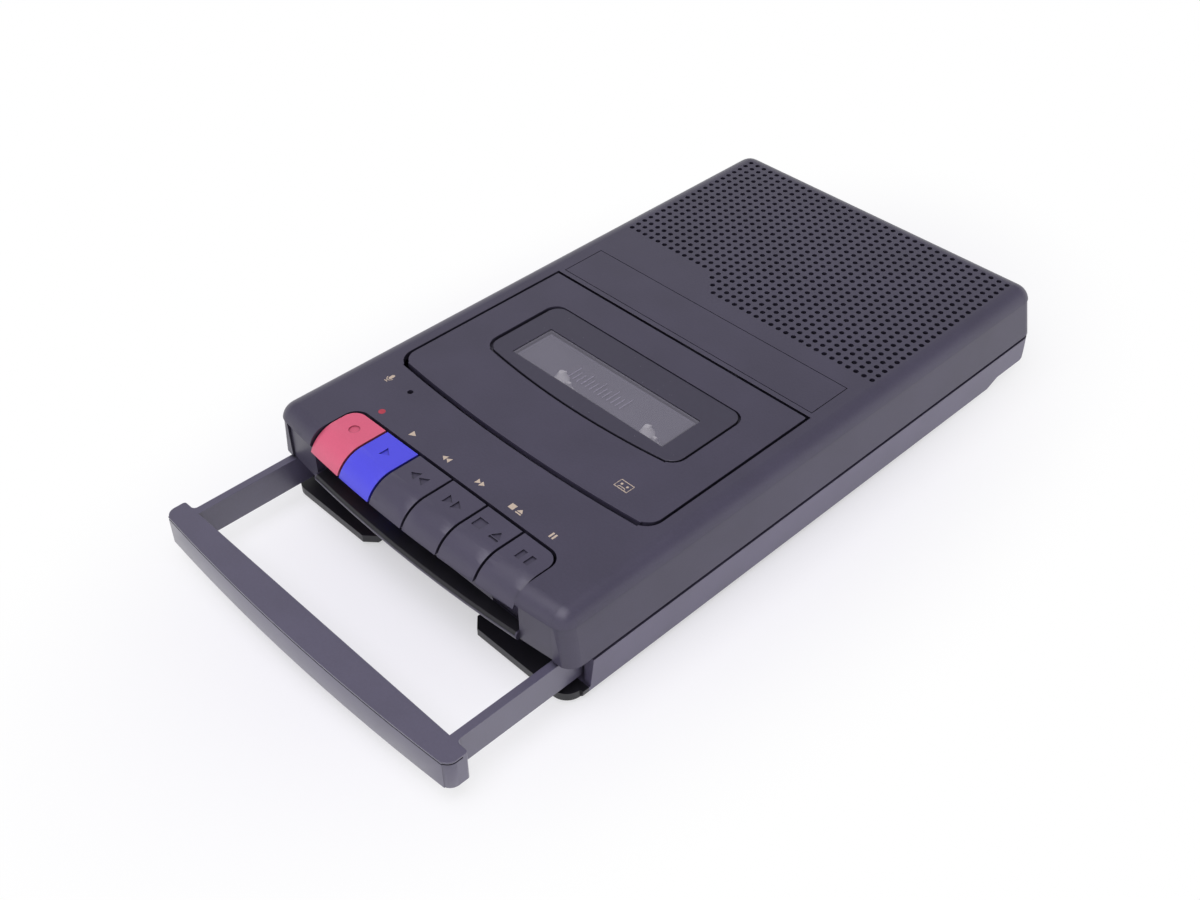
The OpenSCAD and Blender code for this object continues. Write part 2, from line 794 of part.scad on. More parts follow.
module cover_cut() {
    block([cover_x0, cover_x1], [fy(cover_front_d), fy(cover_rear_d - 2)], [0, floor_z + past]);
    block([cover_x0, cover_x1], [fy(cover_rear_d - 3), fy(step_d + step_run)], [0, cover_z1 + run_gap]);
    block([cover_x0 - tongue_w - seat_gap, cover_x1 + tongue_w + seat_gap],
          [fy(cover_front_d + 10), fy(step_d + step_run)],
          [cover_z1 - tongue_t - seat_gap, cover_z1 + run_gap]);
}

module rim_band(inset, z) {
    intersection() {
        lower_block(inset, front_y, floor_t, z[1]);
        block([-half_w, half_w], [fy(finger_d + 16), rear_y], z);
    }
}

module bottom_case() {
    jack_x = -half_w - past;
    tab_x = half_w - lower_taper - 1;
    color("#403e49")
    difference() {
        union() {
            difference() {
                lower_block(0, fy(tab_d), 0, lower_z);
                lower_block(wall, fy(finger_d + wall), floor_t, lower_z + past);
                // Recess that takes the crossbar, and the corners that take its ends
                block([-inner_half, inner_half], [front_y - past, fy(finger_d)], [floor_z, lower_z + past]);
                block([-half_w - past, half_w + past], [front_y - past, fy(ear_d)],
                      [floor_z, lower_z + past]);
                finger_cutout();
                both_sides()
                    difference() {
                        block([tab_x - corner_r, half_w + past], [front_y - past, fy(tab_d + corner_r)],
                              [foot_h - past, floor_z + past]);
                        upright(tab_x - corner_r, tab_d + corner_r, 2 * corner_r,
                                [foot_h - 2 * past, floor_z + 2 * past]);
                    }
                both_sides()
                    block([arm_x0 - run_gap, arm_x1 + run_gap],
                          [fy(finger_d - past), fy(finger_d + wall + past)],
                          [handle_z0 - run_gap, lower_z + past]);
            }
            handle_guides();
            board_pegs();
            // Rim that fits inside the upper shell
            difference() {
                union() {
                    rim_band(wall - 0.2, [lower_z - 3, lower_z]);
                    rim_band(wall + rim_gap, [lower_z - 1, part_z + rim_h]);
                }
                lower_block(wall + rim_gap + rim_t, front_y, floor_t, top_z);
            }
            for (at = case_screw_at)
                upright(at[0], at[1], boss_d, [floor_z - 0.2, lower_z]);
            // Battery bay
            block([bay_x1, bay_x1 + bay_wall], [fy(bay_front_d - bay_wall), fy(bay_rear_d)],
                  [floor_z - 0.2, bay_z1]);
            block([bay_x0 - 0.4, bay_x1 + bay_wall], [fy(bay_front_d - bay_wall), fy(bay_front_d)],
                  [floor_z - 0.2, bay_z1]);
            block([bay_x0 - 0.4, bay_x1 + bay_wall], [fy(bay_rear_d), fy(bay_rear_d + 1.5)],
                  [floor_z + rear_step_h - 0.2, bay_z1]);
        }
        cover_cut();
        for (at = case_screw_at) {
            upright(at[0], at[1], screw_hole_d, [foot_h - past, lower_z + past]);
            upright(at[0], at[1], screw_head_d + 0.8, [0, floor_z + rear_step_h]);
        }
        for (at = foot_at)
            upright(at[0], at[1], foot_d + 2 * seat_gap, [foot_h - past, foot_h + foot_seat]);
        // Left wall: dial slot and jack holes. Rear wall: supply socket
        translate([dial_x, fy(dial_d_front), dial_z0 - dial_slot])
            cylinder(d = dial_d + 2 * dial_slot, h = dial_t + 2 * dial_slot);
        for (d = [earphone_d_front, mic_jack_d_front])
            translate([jack_x, fy(d), jack_z])
                rotate([0, 90, 0])
                    cylinder(d = jack_d + 2 * seat_gap, h = jack_l);
        translate([dc_x, rear_y + past, dc_z])
            rotate([90, 0, 0])
                cylinder(d = dc_hole_d + 2 * seat_gap, h = lower_taper + wall + 2 * past);
    }
}

module rubber_feet() {
    color("#1d1c20")
    for (at = foot_at)
        translate([at[0], fy(at[1]), 0])
            rotate_extrude()
                polygon([[0, 0], [foot_d / 2 - 0.6, 0], [foot_d / 2, 0.6],
                         [foot_d / 2, foot_h + foot_seat], [0, foot_h + foot_seat]]);
}

module screw(x, d, z, shank) {
    translate([x, fy(d), z])
        difference() {
            union() {
                cylinder(d = screw_head_d, h = screw_head_h);
                cylinder(d = screw_d, h = shank);
            }
            for (turn = [0, 90])
                rotate([0, 0, turn])
                    translate([-screw_head_d * 0.32, -0.4, -past])
                        cube([screw_head_d * 0.64, 0.8, past + 1]);
        }
}

module case_screws() {
    head_z = floor_z + rear_step_h - screw_head_h;
    color("silver")
    for (at = case_screw_at)
        screw(at[0], at[1], head_z, lower_z + 8 - head_z);
}

// Handle: bowed crossbar, two flat arms with stop toes at their ends
module handle() {
    bar_in = fy(-grip_gap);
    color("#393742") {
        difference() {
            above([handle_z0, handle_z1])
                bowed_plan(bar_half, [bar_in - bar_depth, bar_in], bar_bow, bar_corner_r, 1);
            // Fine line round the front, just under the top
            difference() {
                block([-half_w, half_w], [bar_in - bar_depth - 2 * bar_bow, bar_in - 2],
                      [handle_z1 - 2.4 * bar_line, handle_z1 - 1.4 * bar_line]);
                above([handle_z0, handle_z1])
                    bowed_plan(bar_half - bar_line, [bar_in - bar_depth + bar_line, bar_in],
                               bar_bow, bar_corner_r - bar_line, 1);
            }
        }
        both_sides() {
            // Fillet where the arm meets the crossbar
            difference() {
                block([arm_x1 - 0.2, arm_x1 + arm_fillet], [bar_in - 0.2, bar_in + arm_fillet],
                      [handle_z0, handle_z1]);
                translate([arm_x1 + arm_fillet, bar_in + arm_fillet, handle_z0 - past])
                    cylinder(r = arm_fillet, h = handle_z1 - handle_z0 + 2 * past);
            }
            block([arm_x0, arm_x1], [bar_in - 2, fy(arm_hold)], [handle_z0, handle_z1]);
            block([arm_x0 - toe_w, arm_x0 + 0.2], [fy(arm_hold - toe_l), fy(arm_hold)],
                  [handle_z0, handle_z1]);
        }
    }
}

// Lid
module bezel_plan(grow, grow_rear) {
    y0 = fy(lid_front_d + bezel_front);
    bowed_plan(bezel_w / 2 + grow, [y0 - grow, y0 + bezel_l + grow_rear],
               bezel_bow, bezel_corner_r + grow, bezel_corner_r + grow_rear);
}

module pane_block(grow, z) {
    y0 = fy(lid_front_d + bezel_front + pane_front);
    block([-pane_w / 2 - grow, pane_w / 2 + grow], [y0 - grow, y0 + pane_l + grow], z);
}

module cassette_lid() {
    half = lid_w / 2;
    rim_in = half - lid_rim_t;
    color("#413f4a")
    difference() {
        union() {
            above([lid_under, top_z])
                bowed_plan(half, [fy(lid_front_d), fy(lid_rear_d)], lid_bow, lid_corner_r, 0.5);
            // Rim along the front and the sides
            above([lid_under - lid_rim_h, lid_under + 0.2])
                difference() {
                    plan([-half, half], [fy(lid_front_d), fy(hinge_d)], lid_corner_r, 0.5);
                    plan([-rim_in, rim_in], [fy(lid_front_d + lid_rim_t), fy(hinge_d + 2)],
                         lid_corner_r - lid_rim_t, 0.5);
                }
            // Lugs that carry the two hinge pins
            for (x = [[-half, hinge_lug_w - half], [half - hinge_lug_w, half]])
                hinge_line(hinge_lug_d, x);
            for (x = [[-half - hinge_pin_l, 1 - half], [half - 1, half + hinge_pin_l]])
                hinge_line(hinge_pin_d, x);
        }
        above([bezel_z0, top_z + past])
            bezel_plan(bezel_gap, seat_gap);
        pane_block(-pane_ledge, [lid_under - past, top_z + past]);
    }
}

module window_bezel() {
    color("#2f2e36")
    difference() {
        above([bezel_z0, bezel_z0 + bezel_t])
            bezel_plan(0, 0);
        pane_block(seat_gap, [bezel_z0 - past, top_z + past]);
    }
}

module window_pane() {
    color("#8a8796", 0.45)
    pane_block(0, [bezel_z0, bezel_z0 + pane_t]);
}

module lid_guides() {
    y = [fy(cassette_d + 2), fy(cassette_d + cassette_l - 4)];
    color("#26252b")
    both_sides() {
        block([guide_x, guide_x + guide_t], y, [guide_z0, lid_under]);
        block([guide_x - guide_lip_w, guide_x + 0.2], y, [guide_z0, guide_z0 + guide_lip]);
    }
}

// Keys: hollow caps with a rounded front on levers that swing on one rod
module key_profile(inset) {
    axis = bow_r + key_bulge - key_front_run;
    low = key_top - key_front_h - (inset > 0 ? past : 0);
    translate([bow_r - 3 * key_rear_d, low])
        square([axis - bow_r + 3 * key_rear_d, key_top - inset - low]);
    intersection() {
        translate([axis, key_top - key_front_r])
            circle(key_front_r - inset);
        translate([axis - 0.01, low])
            square([key_front_r, key_front_h + 2 * past]);
    }
}

module arrow_sign(x, way) {
    half = key_sign_h / 2;
    translate([x, 0])
        polygon([[-way * half * 0.7, -half], [-way * half * 0.7, half], [way * half * 0.9, 0]]);
}

// Recessed signs: record, play, rewind, forward, stop with eject, pause
module key_sign(i) {
    h = key_sign_h;
    if (i == 0)
        circle(d = h);
    if (i == 1)
        arrow_sign(0, 1);
    if (i == 2 || i == 3)
        for (x = [-h / 2, h / 2])
            arrow_sign(x, i == 2 ? -1 : 1);
    if (i == 4) {
        translate([-1.5 * h, -h / 2])
            square(h);
        translate([h / 2, -h / 2])
            square([h, h / 5]);
        translate([h / 2, -h / 5])
            polygon([[0, 0], [h, 0], [h / 2, h * 0.7]]);
    }
    if (i == 5)
        for (x = [-h * 0.75, h * 0.25])
            translate([x, -h / 2])
                square([h / 2, h]);
}

module key(i) {
    x = [key_x(i) - key_w / 2, key_x(i) + key_w / 2];
    row = [key_row_x - key_row_w / 2, key_row_x + key_row_w / 2];
    pivot = [fy(key_pivot_d), key_pivot_z];
    under = key_top - key_wall;
    lever_d = key_front_run - key_bulge - 4;
    difference() {
        union() {
            intersection() {
                difference() {
                    along_bow()
                        key_profile(0);
                    intersection() {
                        along_bow()
                            key_profile(key_wall);
                        block([x[0] + key_wall, x[1] - key_wall],
                              [bow_ahead, fy(key_rear_d - key_wall)], [0, top_z]);
                    }
                    above([key_top - key_sign_depth, key_top + past])
                        translate([key_x(i), fy(key_sign_d)])
                            key_sign(i);
                }
                block(x, [bow_ahead, fy(key_rear_d)], [0, top_z + past]);
                above([0, top_z + 2 * past])
                    plan(row, [bow_ahead - past, fy(key_rear_d)], 0.5, key_corner_r);
            }
            along_x([key_x(i) - key_lever_t / 2, key_x(i) + key_lever_t / 2])
                polygon([[fy(lever_d), under + 0.2], [fy(lever_d), under - 5],
                         [fy(key_rear_d - 4), key_pivot_z + 1.5],
                         [pivot[0], pivot[1] - key_boss_d * 0.42], [pivot[0] + 5.5, pivot[1] - 2.6],
                         [pivot[0] + 5.5, pivot[1]], [pivot[0], pivot[1] + key_boss_d * 0.42],
                         [fy(key_rear_d - 1), under - 2.5], [fy(key_rear_d - 1), under + 0.2]]);
            translate([key_x(i) - key_boss_w / 2, pivot[0], pivot[1]])
                rotate([0, 90, 0])
                    cylinder(d = key_boss_d, h = key_boss_w);
        }
        translate([key_x(i) - key_boss_w, pivot[0], pivot[1]])
            rotate([0, 90, 0])
                cylinder(d = key_shaft_d + 2 * turn_gap, h = 2 * key_boss_w);
    }
}

module record_key() {
    color("#dc667c")
    key(0);
}

module play_key() {
    color("#5352e2")
    key(1);
}

module rewind_key() {
    color("#45434f")
    key(2);
}

module forward_key() {
    color("#45434f")
    key(3);
}

module stop_key() {
    color("#45434f")
    key(4);
}

module pause_key() {
    color("#45434f")
    key(5);
}

module key_shaft() {
    reach = cheek_x + cheek_t + shaft_over;
    color("silver")
    translate([key_row_x - reach, fy(key_pivot_d), key_pivot_z])
        rotate([0, 90, 0])
            cylinder(d = key_shaft_d, h = 2 * reach);
}

// One return spring to each key: a single wound wire
spring_sides = 6;
spring_steps = 8;
function spring_point(t, at) =
    let (a = 360 * t)
    [at[0] + t * spring_pitch, at[1] + spring_r * cos(a), at[2] + spring_r * sin(a)];
function spring_ring(k, at) =
    let (t = k / spring_steps, a = 360 * t, c = spring_point(t, at))
    [for (s = [0 : spring_sides - 1])
        let (b = 360 * s / spring_sides, out = spring_wire / 2 * cos(b))
        [c[0] + spring_wire / 2 * sin(b), c[1] + out * cos(a), c[2] + out * sin(a)]];

module wound_spring(at) {
    rings = spring_turns * spring_steps;
    points = [for (k = [0 : rings]) each spring_ring(k, at)];
    start = [for (s = [1 : spring_sides - 2]) [0, s, s + 1]];
    finish = [for (s = [1 : spring_sides - 2])
        [rings * spring_sides, rings * spring_sides + s + 1, rings * spring_sides + s]];
    walls = [for (k = [0 : rings - 1], s = [0 : spring_sides - 1])
        let (a = k * spring_sides + s, b = k * spring_sides + (s + 1) % spring_sides)
        each [[a, a + spring_sides, b + spring_sides], [a, b + spring_sides, b]]];
    polyhedron(points, concat(start, walls, finish));
}

module key_springs() {
    echo(spring_gap = spring_pitch - spring_wire);
    color("gainsboro")
    for (i = [0 : key_count - 1])
        wound_spring([key_x(i) + key_boss_w / 2 + 0.6, fy(key_pivot_d), key_pivot_z]);
}

// Two bent brackets on the deck that carry the key rod
module key_brackets() {
    y = [fy(deck_front_d), fy(key_pivot_d + 5)];
    color("lightgrey")
    difference() {
        for (side = [-1, 1])
            translate([key_row_x, 0, 0])
                mirror([side < 0 ? 1 : 0, 0, 0]) {
                    block([cheek_x, cheek_x + cheek_t], y, [deck_z1, key_pivot_z + key_shaft_d / 2 + 2]);
                    block([cheek_x - cheek_foot, cheek_x + 0.2], y, [deck_z1, deck_z1 + cheek_t]);
                }
        translate([key_row_x - cheek_x - 2 * cheek_t, fy(key_pivot_d), key_pivot_z])
            rotate([0, 90, 0])
                cylinder(d = key_shaft_d, h = 2 * cheek_x + 4 * cheek_t);
    }
}

// Deck: a flat steel plate with ears for its posts and a tongue for the motor
module mechanism_deck() {
    ear = post_d / 2 + 0.6;
    color("lightgrey")
    difference() {
        union() {
            block([-deck_half, deck_half], [fy(deck_front_d), fy(deck_rear_d)], [deck_z0, deck_z1]);
            both_sides()
                for (at = post_at)
                    block([deck_half - 4, at[0] + ear], [fy(at[1] - ear), fy(at[1] + ear)],
                          [deck_z0, deck_z1]);
            block([motor_x - motor_d / 2 - 1, motor_x + motor_d / 2 + 1],
                  [fy(deck_rear_d - past), fy(motor_d_front + motor_d / 2 + 1)], [deck_z0, deck_z1]);
        }
        both_sides()
            for (at = post_at)
                upright(at[0], at[1], screw_hole_d, [deck_z0 - past, deck_z1 + past]);
        upright(capstan_x, capstan_d_front, bearing_d, [deck_z0 - past, deck_z1 + past]);
        upright(motor_x, motor_d_front, 9, [deck_z0 - past, deck_z1 + past]);
        for (side = [-1, 1])
            upright(side * hub_x, hub_d, stud_d, [deck_z0 - past, deck_z1 + past]);
    }
}

module deck_screws() {
    color("silver")
    both_sides()
        for (at = post_at)
            screw(at[0], at[1], deck_z0 - screw_head_h, screw_head_h + deck_t + 8);
}

// Moulded bay that the cassette drops into, standing on the deck
module cassette_well() {
    x = [-well_half - well_t, well_half + well_t];
    wall_z1 = lid_under - 1;
    rear_z1 = hinge_z - hinge_lug_d / 2 - 1;
    color("#26252b")
    difference() {
        union() {
            block(x, [fy(well_floor_d), fy(well_rear_d + well_t)], [well_z0, well_z1]);
            both_sides()
                block([well_half, well_half + well_t], [fy(well_front_d), fy(well_rear_d + well_t)],
                      [deck_z1, wall_z1]);
            block(x, [fy(well_rear_d), fy(well_rear_d + well_t)], [deck_z1, rear_z1]);
            // Two ribs that stop the cassette at the rear
            both_sides()
                block([hub_x, hub_x + 1.6], [fy(well_rear_d - 0.3), fy(well_rear_d + 0.2)],
                      [well_z1 - 0.2, rear_z1]);
        }
        for (side = [-1, 1])
            upright(side * hub_x, hub_d, 2 * hub_r + 5, [well_z0 - past, well_z1 + past]);
        upright(capstan_x, capstan_d_front, bearing_d + 2, [well_z0 - past, well_z1 + past]);
        // Side walls are lower under the lid's front rim and its hinge lugs
        both_sides()
            block([well_half - past, well_half + well_t + past],
                  [fy(well_front_d - past), fy(lid_front_d + lid_corner_r)],
                  [lid_under - lid_rim_h - 0.6, lid_under]);
        both_sides()
            block([well_half - past, well_half + well_t + past],
                  [fy(hinge_d - hinge_lug_d), fy(well_rear_d + well_t + past)], [rear_z1, lid_under]);
    }
}

module reel_studs() {
    color("silver")
    for (side = [-1, 1])
        upright(side * hub_x, hub_d, stud_d, [deck_z0, hub_tip_z - 3]);
}

// Reel spindle: flange, hub and three drive splines under a tapered tip
module spindle(side) {
    z0 = deck_z1 + run_gap;
    z1 = z0 + sheet_t;
    translate([side * hub_x, fy(hub_d), 0])
        difference() {
            union() {
                rotate_extrude()
                    polygon([[0, z0], [hub_flange_r, z0], [hub_flange_r, z1], [hub_r + 0.8, z1],
                             [hub_r + 0.8, well_z1 + 1.4], [hub_r - 0.6, well_z1 + 1.4],
                             [hub_r - 0.6, hub_tip_z - 3], [1, hub_tip_z], [0, hub_tip_z]]);
                for (turn = [0 : 120 : 240])
                    rotate([0, 0, turn])
                        block([0, hub_r + 1], [-0.6, 0.6], [well_z1, hub_tip_z - 3]);
            }
            translate([0, 0, z0 - past])
                cylinder(d = stud_d + 2 * turn_gap, h = hub_tip_z - 3 + run_gap - z0 + past);
        }
}

module supply_spindle() {
    color("whitesmoke")
    spindle(-1);
}

module takeup_spindle() {
    color("whitesmoke")
    spindle(1);
}

module capstan() {
    color("silver")
    upright(capstan_x, capstan_d_front, capstan_d, [bracket_z1 + turn_gap, head_z1]);
}

module flywheel() {
    r = flywheel_d / 2;
    color("goldenrod")
    translate([capstan_x, fy(capstan_d_front), 0])
        rotate_extrude()
            polygon([[capstan_d / 2, flywheel_z0], [r, flywheel_z0], [r, belt_z0], [r - groove, belt_z0],
                     [r - groove, belt_z0 + belt_h], [r, belt_z0 + belt_h], [r, flywheel_z1],
                     [r - 5, flywheel_z1], [r - 6, flywheel_z1 - 2], [6, flywheel_z1 - 2],
                     [5, flywheel_z1], [capstan_d / 2, flywheel_z1]]);
}

module capstan_bearing() {
    color("darkgoldenrod")
    translate([capstan_x, fy(capstan_d_front), 0])
        rotate_extrude()
            polygon([[capstan_d / 2 + turn_gap, flywheel_z1 + 0.6],
                     [bearing_d / 2 + bearing_over, flywheel_z1 + 0.6],
                     [bearing_d / 2 + bearing_over, deck_z0], [bearing_d / 2, deck_z0],
                     [bearing_d / 2, deck_z1],
                     [capstan_d / 2 + turn_gap, deck_z1]]);
}

module flywheel_bracket() {
    half = flywheel_d / 2 + 2.6;
    y = [fy(capstan_d_front - 7), fy(capstan_d_front + 7)];
    color("lightgrey") {
        block([capstan_x - half, capstan_x + half], y, [bracket_z0, bracket_z1]);
        for (x = [capstan_x - half, capstan_x + half - sheet_t])
            block([x, x + sheet_t], y, [bracket_z0, deck_z0]);
    }
}

// Carriage: a sliding plate that brings the heads and the roller to the tape
module head_carriage() {
    right = capstan_x + 9;
    color("silver") {
        block([carriage_x0, right], [fy(carriage_d0), fy(carriage_d1)], [carriage_z0, carriage_z1]);
        upright(capstan_x, roller_d_front, axle_d, [carriage_z1 - 0.2, roller_z1 + 0.3]);
        upright(capstan_x, roller_d_front, axle_d + 2.6, [carriage_z1 - 0.2, roller_z0 - run_gap]);
    }
}

module head_block(x, w, l) {
    color("lightsteelblue")
    intersection() {
        block([x - w / 2, x + w / 2], [fy(head_face_d - l), fy(head_face_d)], [carriage_z1, head_z1]);
        translate([x, fy(head_face_d - w), carriage_z1 - past])
            cylinder(r = w, h = head_z1 - carriage_z1 + 2 * past, $fn = 96);
    }
}

module record_play_head() {
    head_block(0, head_w, head_l);
}

module erase_head() {
    head_block(erase_x, erase_w, erase_l);
}

module pinch_roller() {
    color("#1d1c20")
    translate([capstan_x, fy(roller_d_front), roller_z0])
        difference() {
            cylinder(d = roller_d, h = roller_z1 - roller_z0);
            translate([0, 0, -past])
                cylinder(d = axle_d + 2 * turn_gap, h = roller_z1 - roller_z0 + 2 * past);
        }
}

module motor() {
    color("silver")
    translate([motor_x, fy(motor_d_front), 0])
        difference() {
            rotate_extrude()
                polygon([[0, deck_z0 - 1], [4.4, deck_z0 - 1], [4.4, deck_z1], [motor_d / 2, deck_z1],
                         [motor_d / 2, motor_z1 - 1], [motor_d / 2 - 1, motor_z1], [0, motor_z1]]);
            translate([0, 0, deck_z0 - 1 - past])
                cylinder(d = motor_shaft_d + 2 * turn_gap, h = past + 6);
        }
}

module motor_pulley() {
    r = pulley_d / 2;
    top = pulley_z0 + pulley_h;
    color("goldenrod")
    translate([motor_x, fy(motor_d_front), 0])
        rotate_extrude()
            polygon([[0, pulley_z0], [r, pulley_z0], [r, belt_z0], [r - groove, belt_z0],
                     [r - groove, belt_z0 + belt_h], [r, belt_z0 + belt_h], [r, top],
                     [motor_shaft_d / 2, top], [motor_shaft_d / 2, deck_z0 + 4], [0, deck_z0 + 4]]);
}

// Belt: two arcs and their outer tangents
module belt_loop(r_wheel, r_pulley) {
    run = [motor_x - capstan_x, motor_d_front - capstan_d_front];
    heading = atan2(run[1], run[0]);
    lean = acos((r_wheel - r_pulley) / norm(run));
    translate([capstan_x, fy(capstan_d_front)]) {
        circle(r_wheel);
        translate(run)
            circle(r_pulley);
        polygon([r_wheel * [cos(heading + lean), sin(heading + lean)],
                 r_wheel * [cos(heading - lean), sin(heading - lean)],
                 run + r_pulley * [cos(heading - lean), sin(heading - lean)],
                 run + r_pulley * [cos(heading + lean), sin(heading + lean)]]);
    }
}

module drive_belt() {
    r_wheel = flywheel_d / 2 - groove + belt_gap;
    r_pulley = pulley_d / 2 - groove + belt_gap;
    color("#1d1c20")
    above([belt_z0 + belt_gap * 2, belt_z0 + belt_h - belt_gap * 2])
        difference() {
            belt_loop(r_wheel + belt_t, r_pulley + belt_t);
            belt_loop(r_wheel, r_pulley);
        }
}

// Loudspeaker against the underside of the grille
magnet_d = speaker_d * 0.5;
magnet_h = speaker_h * 0.36;
basket_t = 1.2;
basket_z0 = skin_z - speaker_h + magnet_h;

module speaker_frame() {
    r = speaker_d / 2;
    color("grey")
    translate([speaker_x, fy(speaker_d_front), 0])
        difference() {
            rotate_extrude()
                polygon([[r - 6, skin_z], [r, skin_z], [r, skin_z - basket_t], [r - 4, skin_z - basket_t],
                         [magnet_d / 2, basket_z0], [4, basket_z0], [4, basket_z0 + basket_t],
                         [magnet_d / 2 - 1, basket_z0 + basket_t], [r - 5.6, skin_z - basket_t]]);
            for (turn = [0 : 90 : 270])
                rotate([0, 0, turn + 45])
                    block([magnet_d / 2 + 2.4, r - 8], [-7, 7], [basket_z0 - past, skin_z - 3]);
        }
}

module speaker_magnet() {
    color("dimgrey")
    upright(speaker_x, speaker_d_front, magnet_d, [skin_z - speaker_h, basket_z0]);
}

module speaker_cone() {
    r = speaker_d / 2 - 7.2;
    hub = magnet_d / 2 - 6;
    low = basket_z0 + basket_t + 2.6;
    color("#2a2724")
    translate([speaker_x, fy(speaker_d_front), 0])
        rotate_extrude()
            polygon([[0, low + 4], [hub, low], [hub, basket_z0 + basket_t + run_gap],
                     [hub + 0.8, basket_z0 + basket_t + run_gap], [hub + 0.8, low], [r, skin_z - 2],
                     [r, skin_z - 1.2], [hub + 0.4, low + 0.9], [0, low + 4.8]]);
}

// Electronics
module circuit_board() {
    wing_x = -inner_half + 0.6;
    color("#8a6a3a")
    block([board_x0, board_x1], [fy(board_front_d), fy(board_rear_d)], [board_z0, board_z1]);
    color("#8a6a3a")
    block([wing_x, board_x0 + 0.2], [fy(wing_front_d), fy(board_rear_d)], [board_z0, board_z1]);
}

module capacitors() {
    color("#2c3a6a")
    for (at = can_at)
        upright(board_x(at[0]), board_d(at[1]), can_d, [board_z1, board_z1 + can_h]);
}

module amplifier_chip() {
    x = board_x(0.29);
    d = board_d(0.54);
    legs = floor((chip_l - 2 * leg_t) / leg_pitch);
    color("#1d1c20")
    block([x, x + chip_w], [fy(d), fy(d + chip_l)], [board_z1 + chip_lift, board_z1 + chip_lift + chip_t]);
    color("silver")
    for (k = [0 : legs], side = [x - 2 * leg_t + 0.2, x + chip_w - 0.2])
        block([side, side + 2 * leg_t], [fy(d + leg_t + k * leg_pitch), fy(d + 2 * leg_t + k * leg_pitch)],
              [board_z1, board_z1 + chip_t / 2]);
}

module record_switch() {
    x = board_x(0.21);
    d = board_front_d + switch_w;
    color("silver")
    block([x, x + switch_w], [fy(d), fy(d + switch_l)], [board_z1, board_z1 + switch_h]);
    color("#26252b")
    block([x + switch_w / 2 - slider_w / 2, x + switch_w / 2 + slider_w / 2],
          [fy(d - switch_w / 2), fy(d + slider_w / 2)],
          [board_z1 + switch_h / 2 - slider_w / 2, board_z1 + switch_h / 2 + slider_w / 2]);
}

module microphone() {
    color("silver")
    upright(mic_x, mic_d_front, mic_d, [skin_z - mic_h, skin_z]);
}

module volume_control() {
    color("#5a5f6a") {
        block([dial_x - 4, dial_x + 8], [fy(dial_d_front - 6), fy(dial_d_front + 6)],
              [board_z1, dial_z0 - run_gap]);
        upright(dial_x, dial_d_front, 3, [board_z1 + 1, dial_z0 + dial_t + 0.4]);
    }
}

module volume_dial() {
    flutes = 36;
    color("#26252b")
    translate([dial_x, fy(dial_d_front), dial_z0])
        difference() {
            cylinder(d = dial_d, h = dial_t);
            translate([0, 0, -past])
                cylinder(d = 3 + 2 * turn_gap, h = dial_t + 2 * past);
            for (k = [0 : flutes - 1])
                rotate([0, 0, 360 * k / flutes])
                    translate([dial_d / 2 + 0.1, 0, -past])
                        cylinder(d = 0.9, h = dial_t + 2 * past, $fn = 16);
        }
}

module jack(d) {
    nose = -half_w + lower_taper / 2 + 0.2;
    color("#1d1c20")
    difference() {
        union() {
            translate([nose, fy(d), jack_z])
                rotate([0, 90, 0])
                    cylinder(d = jack_d, h = jack_l - 3);
            block([-inner_half + 1, nose + jack_l], [fy(d - jack_d / 2), fy(d + jack_d / 2)],
                  [board_z1, jack_z + jack_d / 2]);
        }
        translate([nose - past, fy(d), jack_z])
            rotate([0, 90, 0])
                cylinder(d = jack_hole_d, h = jack_l - 1);
    }
}

module earphone_jack() {
    jack(earphone_d_front);
}

module microphone_jack() {
    jack(mic_jack_d_front);
}

// Supply socket: a sleeve with a centre pin
module dc_jack() {
    face = rear_y - lower_taper / 2 - 0.6;
    inner = rear_y - lower_taper - wall - 1.7;
    color("#1d1c20")
    difference() {
        union() {
            block([dc_x - dc_w / 2, dc_x + dc_w / 2], [inner - 11, inner],
                  [foot_h + rear_step_h + floor_t, dc_z + dc_w / 2]);
            translate([dc_x, face, dc_z])
                rotate([90, 0, 0])
                    cylinder(d = dc_hole_d, h = face - inner + 1);
        }
        difference() {
            translate([dc_x, face + past, dc_z])
                rotate([90, 0, 0])
                    cylinder(d = dc_hole_d - 1.2, h = past + 9);
            translate([dc_x, face + past, dc_z])
                rotate([90, 0, 0])
                    cylinder(d = 2, h = past + 10);
        }
    }
}

// Battery bay
module battery_contacts() {
    low = foot_h + rear_step_h + floor_t + 1;
    mid = (bay_x0 + bay_x1) / 2;
    lane = cell_d / 2 + 0.3;
    color("gainsboro")
    for (x = [mid - lane, mid + lane])
        block([x - 8, x + 8], [fy(bay_front_d), fy(bay_front_d + 0.8)], [low, bay_z1 - 2]);
    color("gainsboro")
    block([mid - lane - 8, mid + lane + 8], [fy(bay_rear_d - 0.8), fy(bay_rear_d)], [low, bay_z1 - 2]);
}

